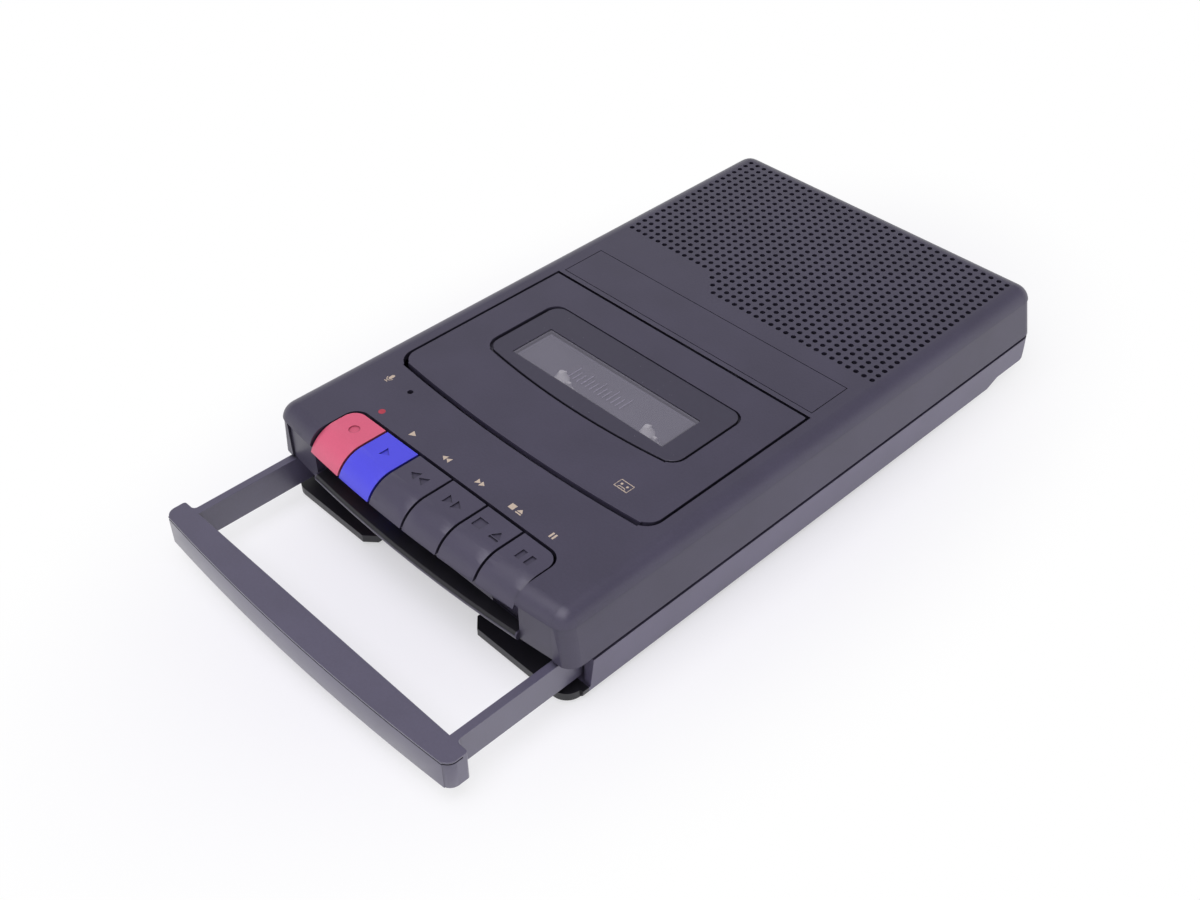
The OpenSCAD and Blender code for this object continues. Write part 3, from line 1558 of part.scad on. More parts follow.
module battery_cover() {
    x = [cover_x0 + seat_gap, cover_x1 - seat_gap];
    y = [fy(cover_front_d + run_gap), fy(cover_rear_d)];
    color("#403e49")
    difference() {
        union() {
            block(x, y, [foot_h, cover_z1]);
            block([x[0] - tongue_w, x[1] + tongue_w], [fy(cover_front_d + 12), fy(cover_rear_d - 22)],
                  [cover_z1 - tongue_t, cover_z1]);
            // Two ribs that bear the cells
            for (rib_x = [x[0] + 12, x[1] - 13.6])
                block([rib_x, rib_x + 1.6], [fy(cover_front_d + 6), fy(cover_rear_d - cover_travel - 6)],
                      [cover_z1 - 0.2, floor_z + rear_step_h - 0.6]);
        }
        // Grip grooves for the thumb
        for (k = [0 : 4])
            block([(x[0] + x[1]) / 2 - 12, (x[0] + x[1]) / 2 + 12],
                  [fy(cover_front_d + 8 + 2.4 * k), fy(cover_front_d + 9.2 + 2.4 * k)],
                  [foot_h - past, foot_h + 0.7]);
    }
}

top_case();
speaker_grille();
name_strip();
bottom_case();
rubber_feet();
case_screws();
handle();
cassette_lid();
window_bezel();
window_pane();
lid_guides();
record_key();
play_key();
rewind_key();
forward_key();
stop_key();
pause_key();
key_shaft();
key_springs();
key_brackets();
mechanism_deck();
deck_screws();
cassette_well();
reel_studs();
supply_spindle();
takeup_spindle();
capstan();
flywheel();
capstan_bearing();
flywheel_bracket();
head_carriage();
record_play_head();
erase_head();
pinch_roller();
motor();
motor_pulley();
drive_belt();
speaker_frame();
speaker_magnet();
speaker_cone();
circuit_board();
capacitors();
amplifier_chip();
record_switch();
microphone();
volume_control();
volume_dial();
earphone_jack();
microphone_jack();
dc_jack();
battery_contacts();
battery_cover();
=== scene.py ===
import json
import math

import bmesh
import bpy
from bpy.props import FloatProperty, FloatVectorProperty, IntProperty, PointerProperty
from mathutils import Matrix, Vector


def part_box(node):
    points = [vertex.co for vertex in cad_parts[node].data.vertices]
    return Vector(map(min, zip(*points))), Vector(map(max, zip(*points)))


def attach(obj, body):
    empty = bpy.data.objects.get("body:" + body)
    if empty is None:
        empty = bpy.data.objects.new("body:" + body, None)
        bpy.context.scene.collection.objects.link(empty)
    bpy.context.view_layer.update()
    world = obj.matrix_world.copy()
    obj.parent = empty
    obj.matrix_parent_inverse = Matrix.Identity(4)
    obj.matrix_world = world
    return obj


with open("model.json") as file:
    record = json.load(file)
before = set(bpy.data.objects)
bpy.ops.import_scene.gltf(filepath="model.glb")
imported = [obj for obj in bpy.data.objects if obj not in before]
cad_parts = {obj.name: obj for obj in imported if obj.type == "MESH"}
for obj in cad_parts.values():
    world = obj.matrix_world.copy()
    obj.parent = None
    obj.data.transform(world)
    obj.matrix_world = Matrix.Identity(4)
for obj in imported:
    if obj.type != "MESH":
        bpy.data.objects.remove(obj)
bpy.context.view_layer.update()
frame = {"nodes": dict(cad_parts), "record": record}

bl_info = {
    "name": "Portable cassette recorder",
    "version": (1, 0, 0),
    "blender": (4, 5, 0),
    "location": "View3D > Sidebar > Recorder",
    "description": "Finishes, printed signs and studio for a portable cassette recorder",
    "category": "Object",
}

MM = 0.001
NODES = frame["nodes"]
SLOT_OF = {row["node"]: row["material_slot"] for row in frame["record"]["subparts"]}
KEYS = ("record_key", "play_key", "rewind_key", "forward_key", "stop_key", "pause_key")

# Places on the housing; FRONT is the lowest corner of the upper shell's box
TOP_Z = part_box("top_case")[1].z
LID_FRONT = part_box("cassette_lid")[0].y
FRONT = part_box("top_case")[0]
# The painted shade, in black, on the lower shell's lip ends this far behind the front
LIP_END = FRONT.y + 14 * MM
# The painted shade, in black, on the sill under the keys lies between these heights
SILL_LOW = FRONT.z + 3.5 * MM
SILL_HIGH = FRONT.z + 5.2 * MM
# Farther out than any piece reaches
OUTSIDE = 1.0

# Moulded plastic: clouds of tone with a share of grain in them, and painted shade within reach of
# the joints and holes
PLASTIC_IOR = 1.54
CLOUD_SIZE = 22 * MM
GRAIN_SHARE = 0.6
TONE_START, TONE_END = 0.55, 1.0
ROUGHNESS_SWING = 0.05
BUMP_STRENGTH = 0.6
PAINTED_SHADE_REACH = 2.0 * MM
PAINTED_SHADE_SAMPLES = 6
LACQUER_ROUGHNESS = 0.3

# Metal, window and ink
METAL_SWING = 0.08
METAL_SPREAD = 0.12
ACRYLIC_IOR = 1.49
HAZE_SIZE = 16 * MM
HAZE_SPREAD = 0.07
PANE_ROUGHNESS = 0.12
PANE_VEIL = 0.24
INK_PATCH = 0.8 * MM
INK_SPREAD = 0.12
INK_ROUGHNESS = 0.55

# Softened edges
WELD_REACH = 0.002 * MM
FLAT_ANGLE = math.radians(0.1)
SHARP_ANGLE = math.radians(35)
EDGE_STEPS = 3

# Every third tick of the tape scale is long, the others have this share of its length
LONG_TICK_EVERY = 3
SHORT_TICK = 0.72

# Floor: its side, and the patch that stays shaded. The patch is as long as the recorder and about
# half as wide; between the two distances the paper runs into the white behind it
FLOOR_SIDE = 8
PAPER_CLOUD = 300 * MM
PAPER_SPREAD = 0.01
PAPER_ROUGHNESS = 0.9
PATCH_SCALE = (1.8, 1.0, 1.0)
FADE_NEAR, FADE_FAR = 0.1, 0.27
FADE_LEAST = 0.5

# The walls of the studio turn into its ceiling between these two heights on a sphere of radius 1
WALL_END, CEILING_START = 0.3, 0.6

# Lamps: name, place, width and height, the property with the power, and whether gloss shows them
LAMP_TINT = "#f7f4ff"
LAMPS = (
    ("overhead_softbox", (0.1, -0.35, 1.0), 1.0, 1.0, "key_power", True),
    ("left_front_strip", (-0.5, -1.0, 0.14), 0.9, 0.2, "left_power", False),
    ("right_rear_strip", (1.0, 0.55, 0.14), 0.9, 0.2, "right_power", False),
)

# The photograph's camera, refitted from straight edges of the recorder
VIEW_PLACE = (0.29445, -0.29369, 0.36203)
VIEW_RIGHT = (0.70541, 0.70880, -0.0006)
VIEW_AHEAD = (-0.54624, 0.54310, -0.63770)
VIEW_LENS, VIEW_SENSOR = 45.2, 36.0
VIEW_SHIFT = (-0.0211, -0.0258)
VIEW_CLIP = (0.01, 50)


def linear(hex_colour):
    """An sRGB hex value as the linear colour that Blender works with."""
    parts = [int(hex_colour[k:k + 2], 16) / 255 for k in (1, 3, 5)]
    return tuple(c / 12.92 if c <= 0.04045 else ((c + 0.055) / 1.055) ** 2.4 for c in parts)


def colour(name, description, hex_colour):
    return FloatVectorProperty(name=name, description=description, subtype="COLOR", size=3,
                               min=0, max=1, default=linear(hex_colour))


def length(name, description, millimetres):
    return FloatProperty(name=name, description=description, unit="LENGTH", min=0,
                         default=millimetres * MM)


def power(name, description, watts):
    return FloatProperty(name=name, description=description, unit="POWER", min=0, default=watts)


class RecorderColours(bpy.types.PropertyGroup):
    """Colours of the recorder's plastics and inks."""
    housing: colour("Housing", "Charcoal of the upper shell, the lid and the grille", "#423e50")
    # The lower shell's charcoal is drawn lighter than the housing's: painted light, standing in for
    # the light the pale floor throws on its walls
    lower: colour("Lower shell", "Charcoal of the lower shell, a little lighter", "#5b566b")
    handle: colour("Handle", "Charcoal of the carrying handle", "#545064")
    keys: colour("Keys", "Charcoal of the four plain keys", "#484456")
    record: colour("Record key", "Red of the record key", "#e06480")
    play: colour("Play key", "Blue of the play key", "#514fe3")
    bezel: colour("Bezel", "Dark frame of the window", "#413e4d")
    pane: colour("Pane", "Grey veil of the smoked window", "#bebbc9")
    # This black is also the painted shade on the sill under the keys and on the lower shell's lip
    black: colour("Black mouldings", "Cassette bay, dial, sockets, sill and lip", "#1c1b20")
    signs: colour("Printed signs", "Pale gold of the printed signs", "#c9b8a4")
    record_sign: colour("Record sign", "Red of the printed record sign", "#b0394a")


class RecorderSizes(bpy.types.PropertyGroup):
    """Sizes of what is printed and of the softened edges."""
    edge: length("Edge", "Radius of the softened edges of keys, lid and bezel", 0.45)
    handle_edge: length("Handle edge", "Radius of the softened edges of the handle", 0.5)
    ink: length("Ink", "Thickness of the printed ink", 0.02)
    sign: length("Sign height", "Height of the printed transport signs", 3.0)
    sign_ahead: length("Sign place", "Distance of the transport signs ahead of the lid", 20.5)
    sign_left: length("Sign shift", "Distance of a transport sign left of its key's middle", 0.9)
    microphone_sign: length("Microphone sign", "Height of the microphone sign", 4.2)
    microphone_sign_left: length("Microphone sign place",
                                 "Distance of the microphone sign left of the microphone", 6.2)
    cassette_sign: length("Cassette sign", "Height of the cassette sign", 3.6)
    cassette_sign_right: length("Cassette sign, right",
                                "Distance of the cassette sign right of the middle", 42)
    cassette_sign_behind: length("Cassette sign, behind",
                                 "Distance of the cassette sign behind the lid's front edge", 11)
    tick: length("Tick length", "Length of the long ticks on the window", 6.5)
    tick_width: length("Tick width", "Width of the ticks on the window", 0.28)
    tick_pitch: length("Tick pitch", "Spacing of the ticks on the window", 2.1)
    tick_start: length("Tick place", "Distance of the ticks from the window's front edge", 4.2)
    ticks: IntProperty(name="Ticks", description="Number of ticks on the window", default=13, min=3)


class RecorderStage(bpy.types.PropertyGroup):
    """Studio round the recorder."""
    sky: FloatProperty(name="Sky", description="Strength of the even light from all round",
                       default=0.55, min=0)
    ceiling: FloatProperty(name="Ceiling",
                           description="Brightness of the ceiling beside the white walls",
                           subtype="FACTOR", default=0.35, min=0, max=1)
    key_power: power("Main lamp", "Power of the large lamp overhead", 9.4)
    right_power: power("Right lamp", "Power of the low lamp at the right", 3.2)
    left_power: power("Left lamp", "Power of the low lamp in front", 0.5)
    floor: colour("Floor", "Pale paper under the recorder", "#f6f5fb")


# Materials

def add_node(tree, kind, settings=None, links=None):
    """Add one node. Settings name its attributes, its inputs or the stops of a ramp, and links
    join its inputs to outputs."""
    made = tree.nodes.new(kind)
    for name, value in (settings or {}).items():
        if name == "stops":
            for stop, (position, tone) in zip(made.color_ramp.elements, value):
                stop.position, stop.color = position, tone
        elif isinstance(name, str) and hasattr(made, name):
            setattr(made, name, value)
        else:
            made.inputs[name].default_value = value
    for name, output in (links or {}).items():
        tree.links.new(output, made.inputs[name])
    return made


def new_material(name):
    """An empty node material and its shader, already joined to the output."""
    made = bpy.data.materials.new(name)
    made.use_nodes = True
    tree = made.node_tree
    tree.nodes.clear()
    shader = add_node(tree, "ShaderNodeBsdfPrincipled")
    add_node(tree, "ShaderNodeOutputMaterial", links={"Surface": shader.outputs["BSDF"]})
    return made, tree, shader


def shades(tone, spread, start=0.0, end=1.0):
    """Two stops, a darker and a lighter neighbour of one colour."""
    return [(position, tuple(min(1, c * factor) for c in tone) + (1,))
            for position, factor in ((start, 1 - spread), (end, 1 + spread))]


def moulded(name, tone, rough, grain_mm, relief_mm, spread=0.06, coat=0.0):
    """Injection-moulded plastic: a fine grain from the tool, cloudy shifts of tone, and painted
    shade in its joints and holes.
    """
    made, tree, shader = new_material(name)
    place = add_node(tree, "ShaderNodeTexCoord").outputs["Object"]
    cloud = add_node(tree, "ShaderNodeTexNoise", {"Scale": 1 / CLOUD_SIZE, "Detail": 3.0},
                     {"Vector": place})
    grain = add_node(tree, "ShaderNodeTexNoise", {"Scale": 1 / (grain_mm * MM), "Detail": 2.0},
                     {"Vector": place})
    mixed = add_node(tree, "ShaderNodeMath", {"operation": "MULTIPLY_ADD", 1: GRAIN_SHARE},
                     {0: grain.outputs["Fac"], 2: cloud.outputs["Fac"]})
    ramp = add_node(tree, "ShaderNodeValToRGB",
                    {"stops": shades(tone, spread, TONE_START, TONE_END)},
                    {"Fac": mixed.outputs[0]})
    # Painted shade: joints and holes are darkened within a short reach, where shade falls, and read
    # darker than the open faces
    painted_joint_shade = add_node(tree, "ShaderNodeAmbientOcclusion",
                      {"samples": PAINTED_SHADE_SAMPLES, "Distance": PAINTED_SHADE_REACH},
                      {"Color": ramp.outputs["Color"]})
    tree.links.new(painted_joint_shade.outputs["Color"], shader.inputs["Base Color"])
    gloss = add_node(tree, "ShaderNodeMapRange",
                     {"To Min": rough - ROUGHNESS_SWING, "To Max": rough + ROUGHNESS_SWING},
                     {"Value": grain.outputs["Fac"]})
    tree.links.new(gloss.outputs["Result"], shader.inputs["Roughness"])
    bump = add_node(tree, "ShaderNodeBump",
                    {"Strength": BUMP_STRENGTH, "Distance": relief_mm * MM},
                    {"Height": grain.outputs["Fac"]})
    tree.links.new(bump.outputs["Normal"], shader.inputs["Normal"])
    shader.inputs["IOR"].default_value = PLASTIC_IOR
    shader.inputs["Coat Weight"].default_value = coat
    shader.inputs["Coat Roughness"].default_value = LACQUER_ROUGHNESS
    return made


def spark_textured(name, tone, coat=0.0):
    """ABS from a spark-eroded tool. The real grain is about 0.15 mm, too fine to show here, so it
    is drawn at 0.8 mm."""
    return moulded(name, tone, rough=0.4, grain_mm=0.8, relief_mm=0.04, spread=0.09, coat=coat)


def satin(name, tone, spread):
    """ABS from a polished tool. Its faint unevenness is drawn at 0.6 mm, coarse enough to show."""
    return moulded(name, tone, rough=0.36, grain_mm=0.6, relief_mm=0.008, spread=spread)


def paint_shade_in_box(made, tone, low, high):
    """Paint what lies between two corners of a box in another colour: painted shade, where the
    housing's shadow falls on it.
    """
    tree = made.node_tree
    base = next(n for n in tree.nodes if n.type == "BSDF_PRINCIPLED").inputs["Base Color"]
    low, high = Vector(low), Vector(high)
    place = add_node(tree, "ShaderNodeTexCoord").outputs["Object"]
    away = add_node(tree, "ShaderNodeVectorMath", {"operation": "SUBTRACT", 1: (low + high) / 2},
                    {0: place})
    share = add_node(tree, "ShaderNodeVectorMath", {"operation": "DIVIDE", 1: (high - low) / 2},
                     {0: away.outputs[0]})
    share = add_node(tree, "ShaderNodeVectorMath", {"operation": "ABSOLUTE"}, {0: share.outputs[0]})
    parts = add_node(tree, "ShaderNodeSeparateXYZ", links={0: share.outputs[0]}).outputs
    farthest = parts["X"]
    for axis in ("Y", "Z"):
        farthest = add_node(tree, "ShaderNodeMath", {"operation": "MAXIMUM"},
                            {0: farthest, 1: parts[axis]}).outputs[0]
    inside = add_node(tree, "ShaderNodeMath", {"operation": "LESS_THAN", 1: 1.0}, {0: farthest})
    # Inputs 6 and 7 and output 2 of this node are its colours
    mixed = add_node(tree, "ShaderNodeMix", {"data_type": "RGBA", 7: tuple(tone) + (1,)},
                     {0: inside.outputs[0], 6: base.links[0].from_socket})
    tree.links.new(mixed.outputs[2], base)
    return made


def lined_metal(name, tone, rough, line_mm, stretch):
    """Metal with fine lines: long along Y on rolled sheet, rings round Z on turned stock. Real
    lines of about 0.05 mm are too fine to show here, so they are drawn wider."""
    made, tree, shader = new_material(name)
    place = add_node(tree, "ShaderNodeTexCoord").outputs["Object"]
    lines_at = add_node(tree, "ShaderNodeMapping", {"Scale": stretch}, {"Vector": place})
    lines = add_node(tree, "ShaderNodeTexNoise", {"Scale": 1 / (line_mm * MM), "Detail": 2.0},
                     {"Vector": lines_at.outputs["Vector"]})
    ramp = add_node(tree, "ShaderNodeValToRGB", {"stops": shades(tone, METAL_SPREAD)},
                    {"Fac": lines.outputs["Fac"]})
    tree.links.new(ramp.outputs["Color"], shader.inputs["Base Color"])
    gloss = add_node(tree, "ShaderNodeMapRange",
                     {"To Min": rough - METAL_SWING, "To Max": rough + METAL_SWING},
                     {"Value": lines.outputs["Fac"]})
    tree.links.new(gloss.outputs["Result"], shader.inputs["Roughness"])
    shader.inputs["Metallic"].default_value = 1.0
    return made


def smoked_pane(name, tone):
    """Smoked acrylic, cast and polished: a grey veil over what lies below."""
    made, tree, shader = new_material(name)
    place = add_node(tree, "ShaderNodeTexCoord").outputs["Object"]
    haze = add_node(tree, "ShaderNodeTexNoise", {"Scale": 1 / HAZE_SIZE, "Detail": 2.0},
                    {"Vector": place})
    ramp = add_node(tree, "ShaderNodeValToRGB", {"stops": shades(tone, HAZE_SPREAD)},
                    {"Fac": haze.outputs["Fac"]})
    tree.links.new(ramp.outputs["Color"], shader.inputs["Base Color"])
    shader.inputs["IOR"].default_value = ACRYLIC_IOR
    shader.inputs["Roughness"].default_value = PANE_ROUGHNESS
    shader.inputs["Alpha"].default_value = PANE_VEIL
    return made


def printed_ink(name, tone):
    """Pad-printed ink: thin, dry and a little uneven where the pad lifted."""
    made, tree, shader = new_material(name)
    place = add_node(tree, "ShaderNodeTexCoord").outputs["Object"]
    patch = add_node(tree, "ShaderNodeTexNoise", {"Scale": 1 / INK_PATCH, "Detail": 2.0},
                     {"Vector": place})
    ramp = add_node(tree, "ShaderNodeValToRGB", {"stops": shades(tone, INK_SPREAD)},
                    {"Fac": patch.outputs["Fac"]})
    tree.links.new(ramp.outputs["Color"], shader.inputs["Base Color"])
    shader.inputs["Roughness"].default_value = INK_ROUGHNESS
    return made


def make_finishes(colours):
    """One material for each of the record's slots, some variants, and the inks."""
    # Box of the painted shade on the sill under the keys
    sill = ((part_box("record_key")[0].x, FRONT.y, SILL_LOW),
            (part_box("pause_key")[1].x, LIP_END, SILL_HIGH))
    # Box of the painted shade on the lower shell's front lip
    lip = ((-OUTSIDE, FRONT.y - OUTSIDE, -OUTSIDE), (OUTSIDE, LIP_END, OUTSIDE))
    return {
        # Spark-textured ABS: a dry charcoal with a fine speckle, lighter in grazing light
        "charcoal_plastic": spark_textured("ABS_charcoal_spark_texture", colours.housing),
        # The same with painted shade in black on the sill under the keys: a dark slot below the key
        # fronts
        "upper_plastic": paint_shade_in_box(spark_textured("ABS_charcoal_black_sill", colours.housing),
                                 colours.black, *sill),
        # The same with painted shade in black on the front lip, where the lip sinks into the
        # housing's shadow
        "lower_plastic": paint_shade_in_box(spark_textured("ABS_charcoal_black_lip", colours.lower),
                                 colours.black, *lip),
        # The same in satin lacquer: the handle's upright faces pick up the pale floor
        "handle_plastic": spark_textured("ABS_charcoal_satin_lacquer", colours.handle, coat=0.8),
        # ABS from a polished tool: the keys catch a broader, softer sheen than the housing
        "key_plastic": satin("ABS_charcoal_satin", colours.keys, spread=0.06),
        "red_plastic": satin("ABS_red_satin", colours.record, spread=0.04),
        "blue_plastic": satin("ABS_blue_satin", colours.play, spread=0.04),
        # Polystyrene from a polished tool: darker and smoother than the lid round it
        "bezel_plastic": moulded("polystyrene_dark_polished", colours.bezel, rough=0.25,
                                 grain_mm=2.0, relief_mm=0.003, spread=0.03),
        # Smoked acrylic, polished: greys what lies below and keeps a soft glint
        "smoked_pane": smoked_pane("acrylic_smoked_polished", colours.pane),
        # ABS in black from a plain tool: reads as shadow with a faint sheen
        "black_plastic": moulded("ABS_black_plain", colours.black, rough=0.5, grain_mm=0.8,
                                 relief_mm=0.01),
        # Wool felt, pressed: black and without gloss
        "black_felt": moulded("felt_black_pressed", linear("#161518"), rough=0.9, grain_mm=0.9,
                              relief_mm=0.05, spread=0.2),
        # Steel sheet in stoved black lacquer: dark enough to vanish behind the holes
        "black_lacquer": moulded("steel_black_lacquer", linear("#17171a"), rough=0.4, grain_mm=2.0,
                                 relief_mm=0.004),
        # Nitrile rubber, pressed: nearly black and without gloss
        "black_rubber": moulded("rubber_black_pressed", linear("#19181b"), rough=0.75, grain_mm=0.7,
                                relief_mm=0.02),
        # Zinc-plated steel sheet, rolled: a cool grey with fine lines along the sheet
        "steel": lined_metal("steel_zinc_plated", linear("#b6b8bc"), rough=0.34, line_mm=0.5,
                             stretch=(1, 0.06, 1)),
        # Brass, turned: warm yellow with fine rings
        "brass": lined_metal("brass_turned", linear("#bd9c52"), rough=0.28, line_mm=0.4,
                             stretch=(1, 1, 6)),
        # Acetal, moulded: a waxy white
        "white_plastic": moulded("acetal_white", linear("#dedcd6"), rough=0.38, grain_mm=1.2,
                                 relief_mm=0.004, spread=0.03),
        # Ferrite, ground: dark grey with a dull grain
        "ferrite": moulded("ferrite_ground", linear("#3c3c40"), rough=0.6, grain_mm=0.5,
                           relief_mm=0.02),
        # Paper pulp, pressed: a brown-black felted surface
        "paper_cone": moulded("paper_pulp_pressed", linear("#2a2724"), rough=0.85, grain_mm=1.0,
                              relief_mm=0.08, spread=0.2),
        # Phenolic paper board: a matt tan brown
        "board": moulded("phenolic_board", linear("#8a6a3a"), rough=0.6, grain_mm=1.5,
                         relief_mm=0.01, spread=0.1),
        # Shrunk vinyl sleeve: a smooth deep blue
        "blue_sleeve": moulded("vinyl_blue_sleeve", linear("#2c3a6a"), rough=0.35, grain_mm=2.0,
                               relief_mm=0.003),
        # Inks, pad-printed: dry and a little uneven
        "ink": printed_ink("ink_pale_gold", colours.signs),
        "record_ink": printed_ink("ink_red", colours.record_sign),
        "scale_ink": printed_ink("ink_pale_grey", linear("#918d9b")),
    }


FINISHES = {}


def finish(name):
    """The material of a slot, made once."""
    if not FINISHES:
        FINISHES.update(make_finishes(bpy.context.scene.recorder_colours))
    return FINISHES[name]


def dress(*names, coat=None):
    """Give each CAD piece the finish of its own slot, or another one."""
    for name in names:
        piece = NODES[name]
        piece.material_slots[0].link = "OBJECT"
        piece.material_slots[0].material = finish(coat or SLOT_OF[name])


def soften(radius, *names):
    """Round the sharp edges of CAD pieces a little, as a moulding tool leaves them."""
    for name in names:
        piece = NODES[name]
        weld = piece.modifiers.new("join_seams", "WELD")
        weld.merge_threshold = WELD_REACH
        flat = piece.modifiers.new("whole_faces", "DECIMATE")
        flat.decimate_type = "DISSOLVE"
        flat.angle_limit = FLAT_ANGLE
        bevel = piece.modifiers.new("soft_edges", "BEVEL")
        bevel.width = radius
        bevel.segments = EDGE_STEPS
        bevel.limit_method = "ANGLE"
        bevel.angle_limit = SHARP_ANGLE
        bevel.harden_normals = True


# Flat signs, drawn round their own middle; the numbers in them are shares of a sign's height

def arc(r, start, end, x=0.0, y=0.0, steps=16):
    turn = [math.radians(start + (end - start) * k / steps) for k in range(steps + 1)]
    return [(x + r * math.cos(a), y + r * math.sin(a)) for a in turn]


def disc(r, x=0.0, y=0.0, sides=40):
    return arc(r, 0, 360, x, y, sides)[:-1]


def rectangle(w, h, x=0.0, y=0.0):
    return [(x - w / 2, y - h / 2), (x + w / 2, y - h / 2),
            (x + w / 2, y + h / 2), (x - w / 2, y + h / 2)]


def arrow(w, h, x=0.0, y=0.0):
    """A triangle that points right, or left where its width is negative."""
    points = [(x - w / 2, y - h / 2), (x + w / 2, y), (x - w / 2, y + h / 2)]
    return points if w > 0 else points[::-1]


def stroke(points, w, closed=False):
    """A line of even width along points, as four-sided pieces that share their corners."""
    pts = [Vector(p) for p in points]
    n = len(pts)
    sides = []
    for k, p in enumerate(pts):
        before = pts[k - 1] if (k or closed) else p
        after = pts[(k + 1) % n] if (k < n - 1 or closed) else p
        along = (after - before).normalized()
        aside = Vector((-along.y, along.x)) * w / 2
        sides.append((tuple(p + aside), tuple(p - aside)))
    pieces = []
    for k in range(n if closed else n - 1):
        here, there = sides[k], sides[(k + 1) % n]
        pieces.append([here[1], there[1], there[0], here[0]])
    return pieces


def transport_sign(key, h):
    """The usual sign of one key, h high."""
    if key == "record_key":
        return [disc(h * 0.42)]
    if key == "play_key":
        return [arrow(h * 0.8, h * 0.9)]
    if key == "rewind_key":
        return [arrow(-h * 0.6, h * 0.8, x) for x in (-h * 0.32, h * 0.32)]
    if key == "forward_key":
        return [arrow(h * 0.6, h * 0.8, x) for x in (-h * 0.32, h * 0.32)]
    if key == "stop_key":
        stop = rectangle(h * 0.76, h * 0.76, -h * 0.55)
        up = [(h * 0.2, -h * 0.1), (h * 1.04, -h * 0.1), (h * 0.62, h * 0.4)]
        return [stop, up, rectangle(h * 0.84, h * 0.16, h * 0.62, -h * 0.3)]
    return [rectangle(h * 0.24, h * 0.8, x) for x in (-h * 0.22, h * 0.22)]


def microphone_sign(h):
    capsule = arc(h * 0.16, 0, 180, 0, h * 0.3) + arc(h * 0.16, 180, 360, 0, h * 0.02)
    stem = rectangle(h * 0.08, h * 0.22, 0, -h * 0.38)
    foot = rectangle(h * 0.36, h * 0.08, 0, -h * 0.48)
    cradle = stroke(arc(h * 0.3, 180, 360, 0, h * 0.02), h * 0.08)
    return [capsule, stem, foot] + cradle


def cassette_sign(h):
    w = h * 1.55
    outline = stroke(rectangle(w, h), h * 0.1, closed=True)
    hubs = [disc(h * 0.13, x, h * 0.08) for x in (-w * 0.22, w * 0.22)]
    lip = stroke([(-w * 0.28, -h * 0.48), (-w * 0.22, -h * 0.24),
                  (w * 0.22, -h * 0.24), (w * 0.28, -h * 0.48)], h * 0.08)
    return outline + hubs + lip


def print_on(name, body, outlines, at, material):
    """Print flat outlines on a face that lies level at the point at."""
    mesh = bpy.data.meshes.new(name)
    made = bmesh.new()
    thickness = bpy.context.scene.recorder_sizes.ink
    for outline in outlines:
        low = [made.verts.new((x, y, 0)) for x, y in outline]
        high = [made.verts.new((x, y, thickness)) for x, y in outline]
        made.faces.new(high)
        made.faces.new(low[::-1])
        for k in range(len(low)):
            after = (k + 1) % len(low)
            made.faces.new((low[k], low[after], high[after], high[k]))
    bmesh.ops.recalc_face_normals(made, faces=made.faces)
    made.transform(Matrix.Translation(at))
    made.to_mesh(mesh)
    made.free()
    piece = bpy.data.objects.new(name, mesh)
    bpy.context.scene.collection.objects.link(piece)
    mesh.materials.append(material)
    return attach(piece, body)


# Studio

def seen_directly(tree):
    """One for what the camera sees, itself or in gloss or through glass, otherwise zero."""
    path = add_node(tree, "ShaderNodeLightPath").outputs
    seen = path["Is Camera Ray"]
    for ray in ("Is Glossy Ray", "Is Transmission Ray"):
        seen = add_node(tree, "ShaderNodeMath", {"operation": "MAXIMUM"},
                        {0: seen, 1: path[ray]}).outputs[0]
    return seen


def make_floor(stage):
    """Seamless paper, matt: pale, with the faintest unevenness, white away from the recorder."""
    bpy.ops.mesh.primitive_plane_add(size=FLOOR_SIDE)
    floor = bpy.context.object
    floor.name = "studio_floor"
    paper, tree, shader = new_material("paper_seamless_matt")
    surface = shader.outputs["BSDF"].links[0].to_socket
    place = add_node(tree, "ShaderNodeTexCoord").outputs["Object"]
    cloud = add_node(tree, "ShaderNodeTexNoise", {"Scale": 1 / PAPER_CLOUD}, {"Vector": place})
    ramp = add_node(tree, "ShaderNodeValToRGB", {"stops": shades(stage.floor, PAPER_SPREAD)},
                    {"Fac": cloud.outputs["Fac"]})
    tree.links.new(ramp.outputs["Color"], shader.inputs["Base Color"])
    shader.inputs["Roughness"].default_value = PAPER_ROUGHNESS
    shader.inputs["Specular IOR Level"].default_value = 0.0
    patch = add_node(tree, "ShaderNodeVectorMath", {"operation": "MULTIPLY", 1: PATCH_SCALE},
                     {0: place})
    away = add_node(tree, "ShaderNodeVectorMath", {"operation": "LENGTH"}, {0: patch.outputs[0]})
    fade = add_node(tree, "ShaderNodeMapRange",
                    {"interpolation_type": "SMOOTHSTEP", "From Min": FADE_NEAR,
                     "From Max": FADE_FAR, "To Min": FADE_LEAST, "To Max": 1.0},
                    {"Value": away.outputs["Value"]})
    share = add_node(tree, "ShaderNodeMath", {"operation": "MULTIPLY"},
                     {0: seen_directly(tree), 1: fade.outputs["Result"]})
    white = add_node(tree, "ShaderNodeEmission", {"Strength": 1.0})
    both = add_node(tree, "ShaderNodeMixShader",
                    links={0: share.outputs[0], 1: shader.outputs["BSDF"],
                           2: white.outputs["Emission"]})
    tree.links.new(both.outputs["Shader"], surface)
    floor.data.materials.append(paper)


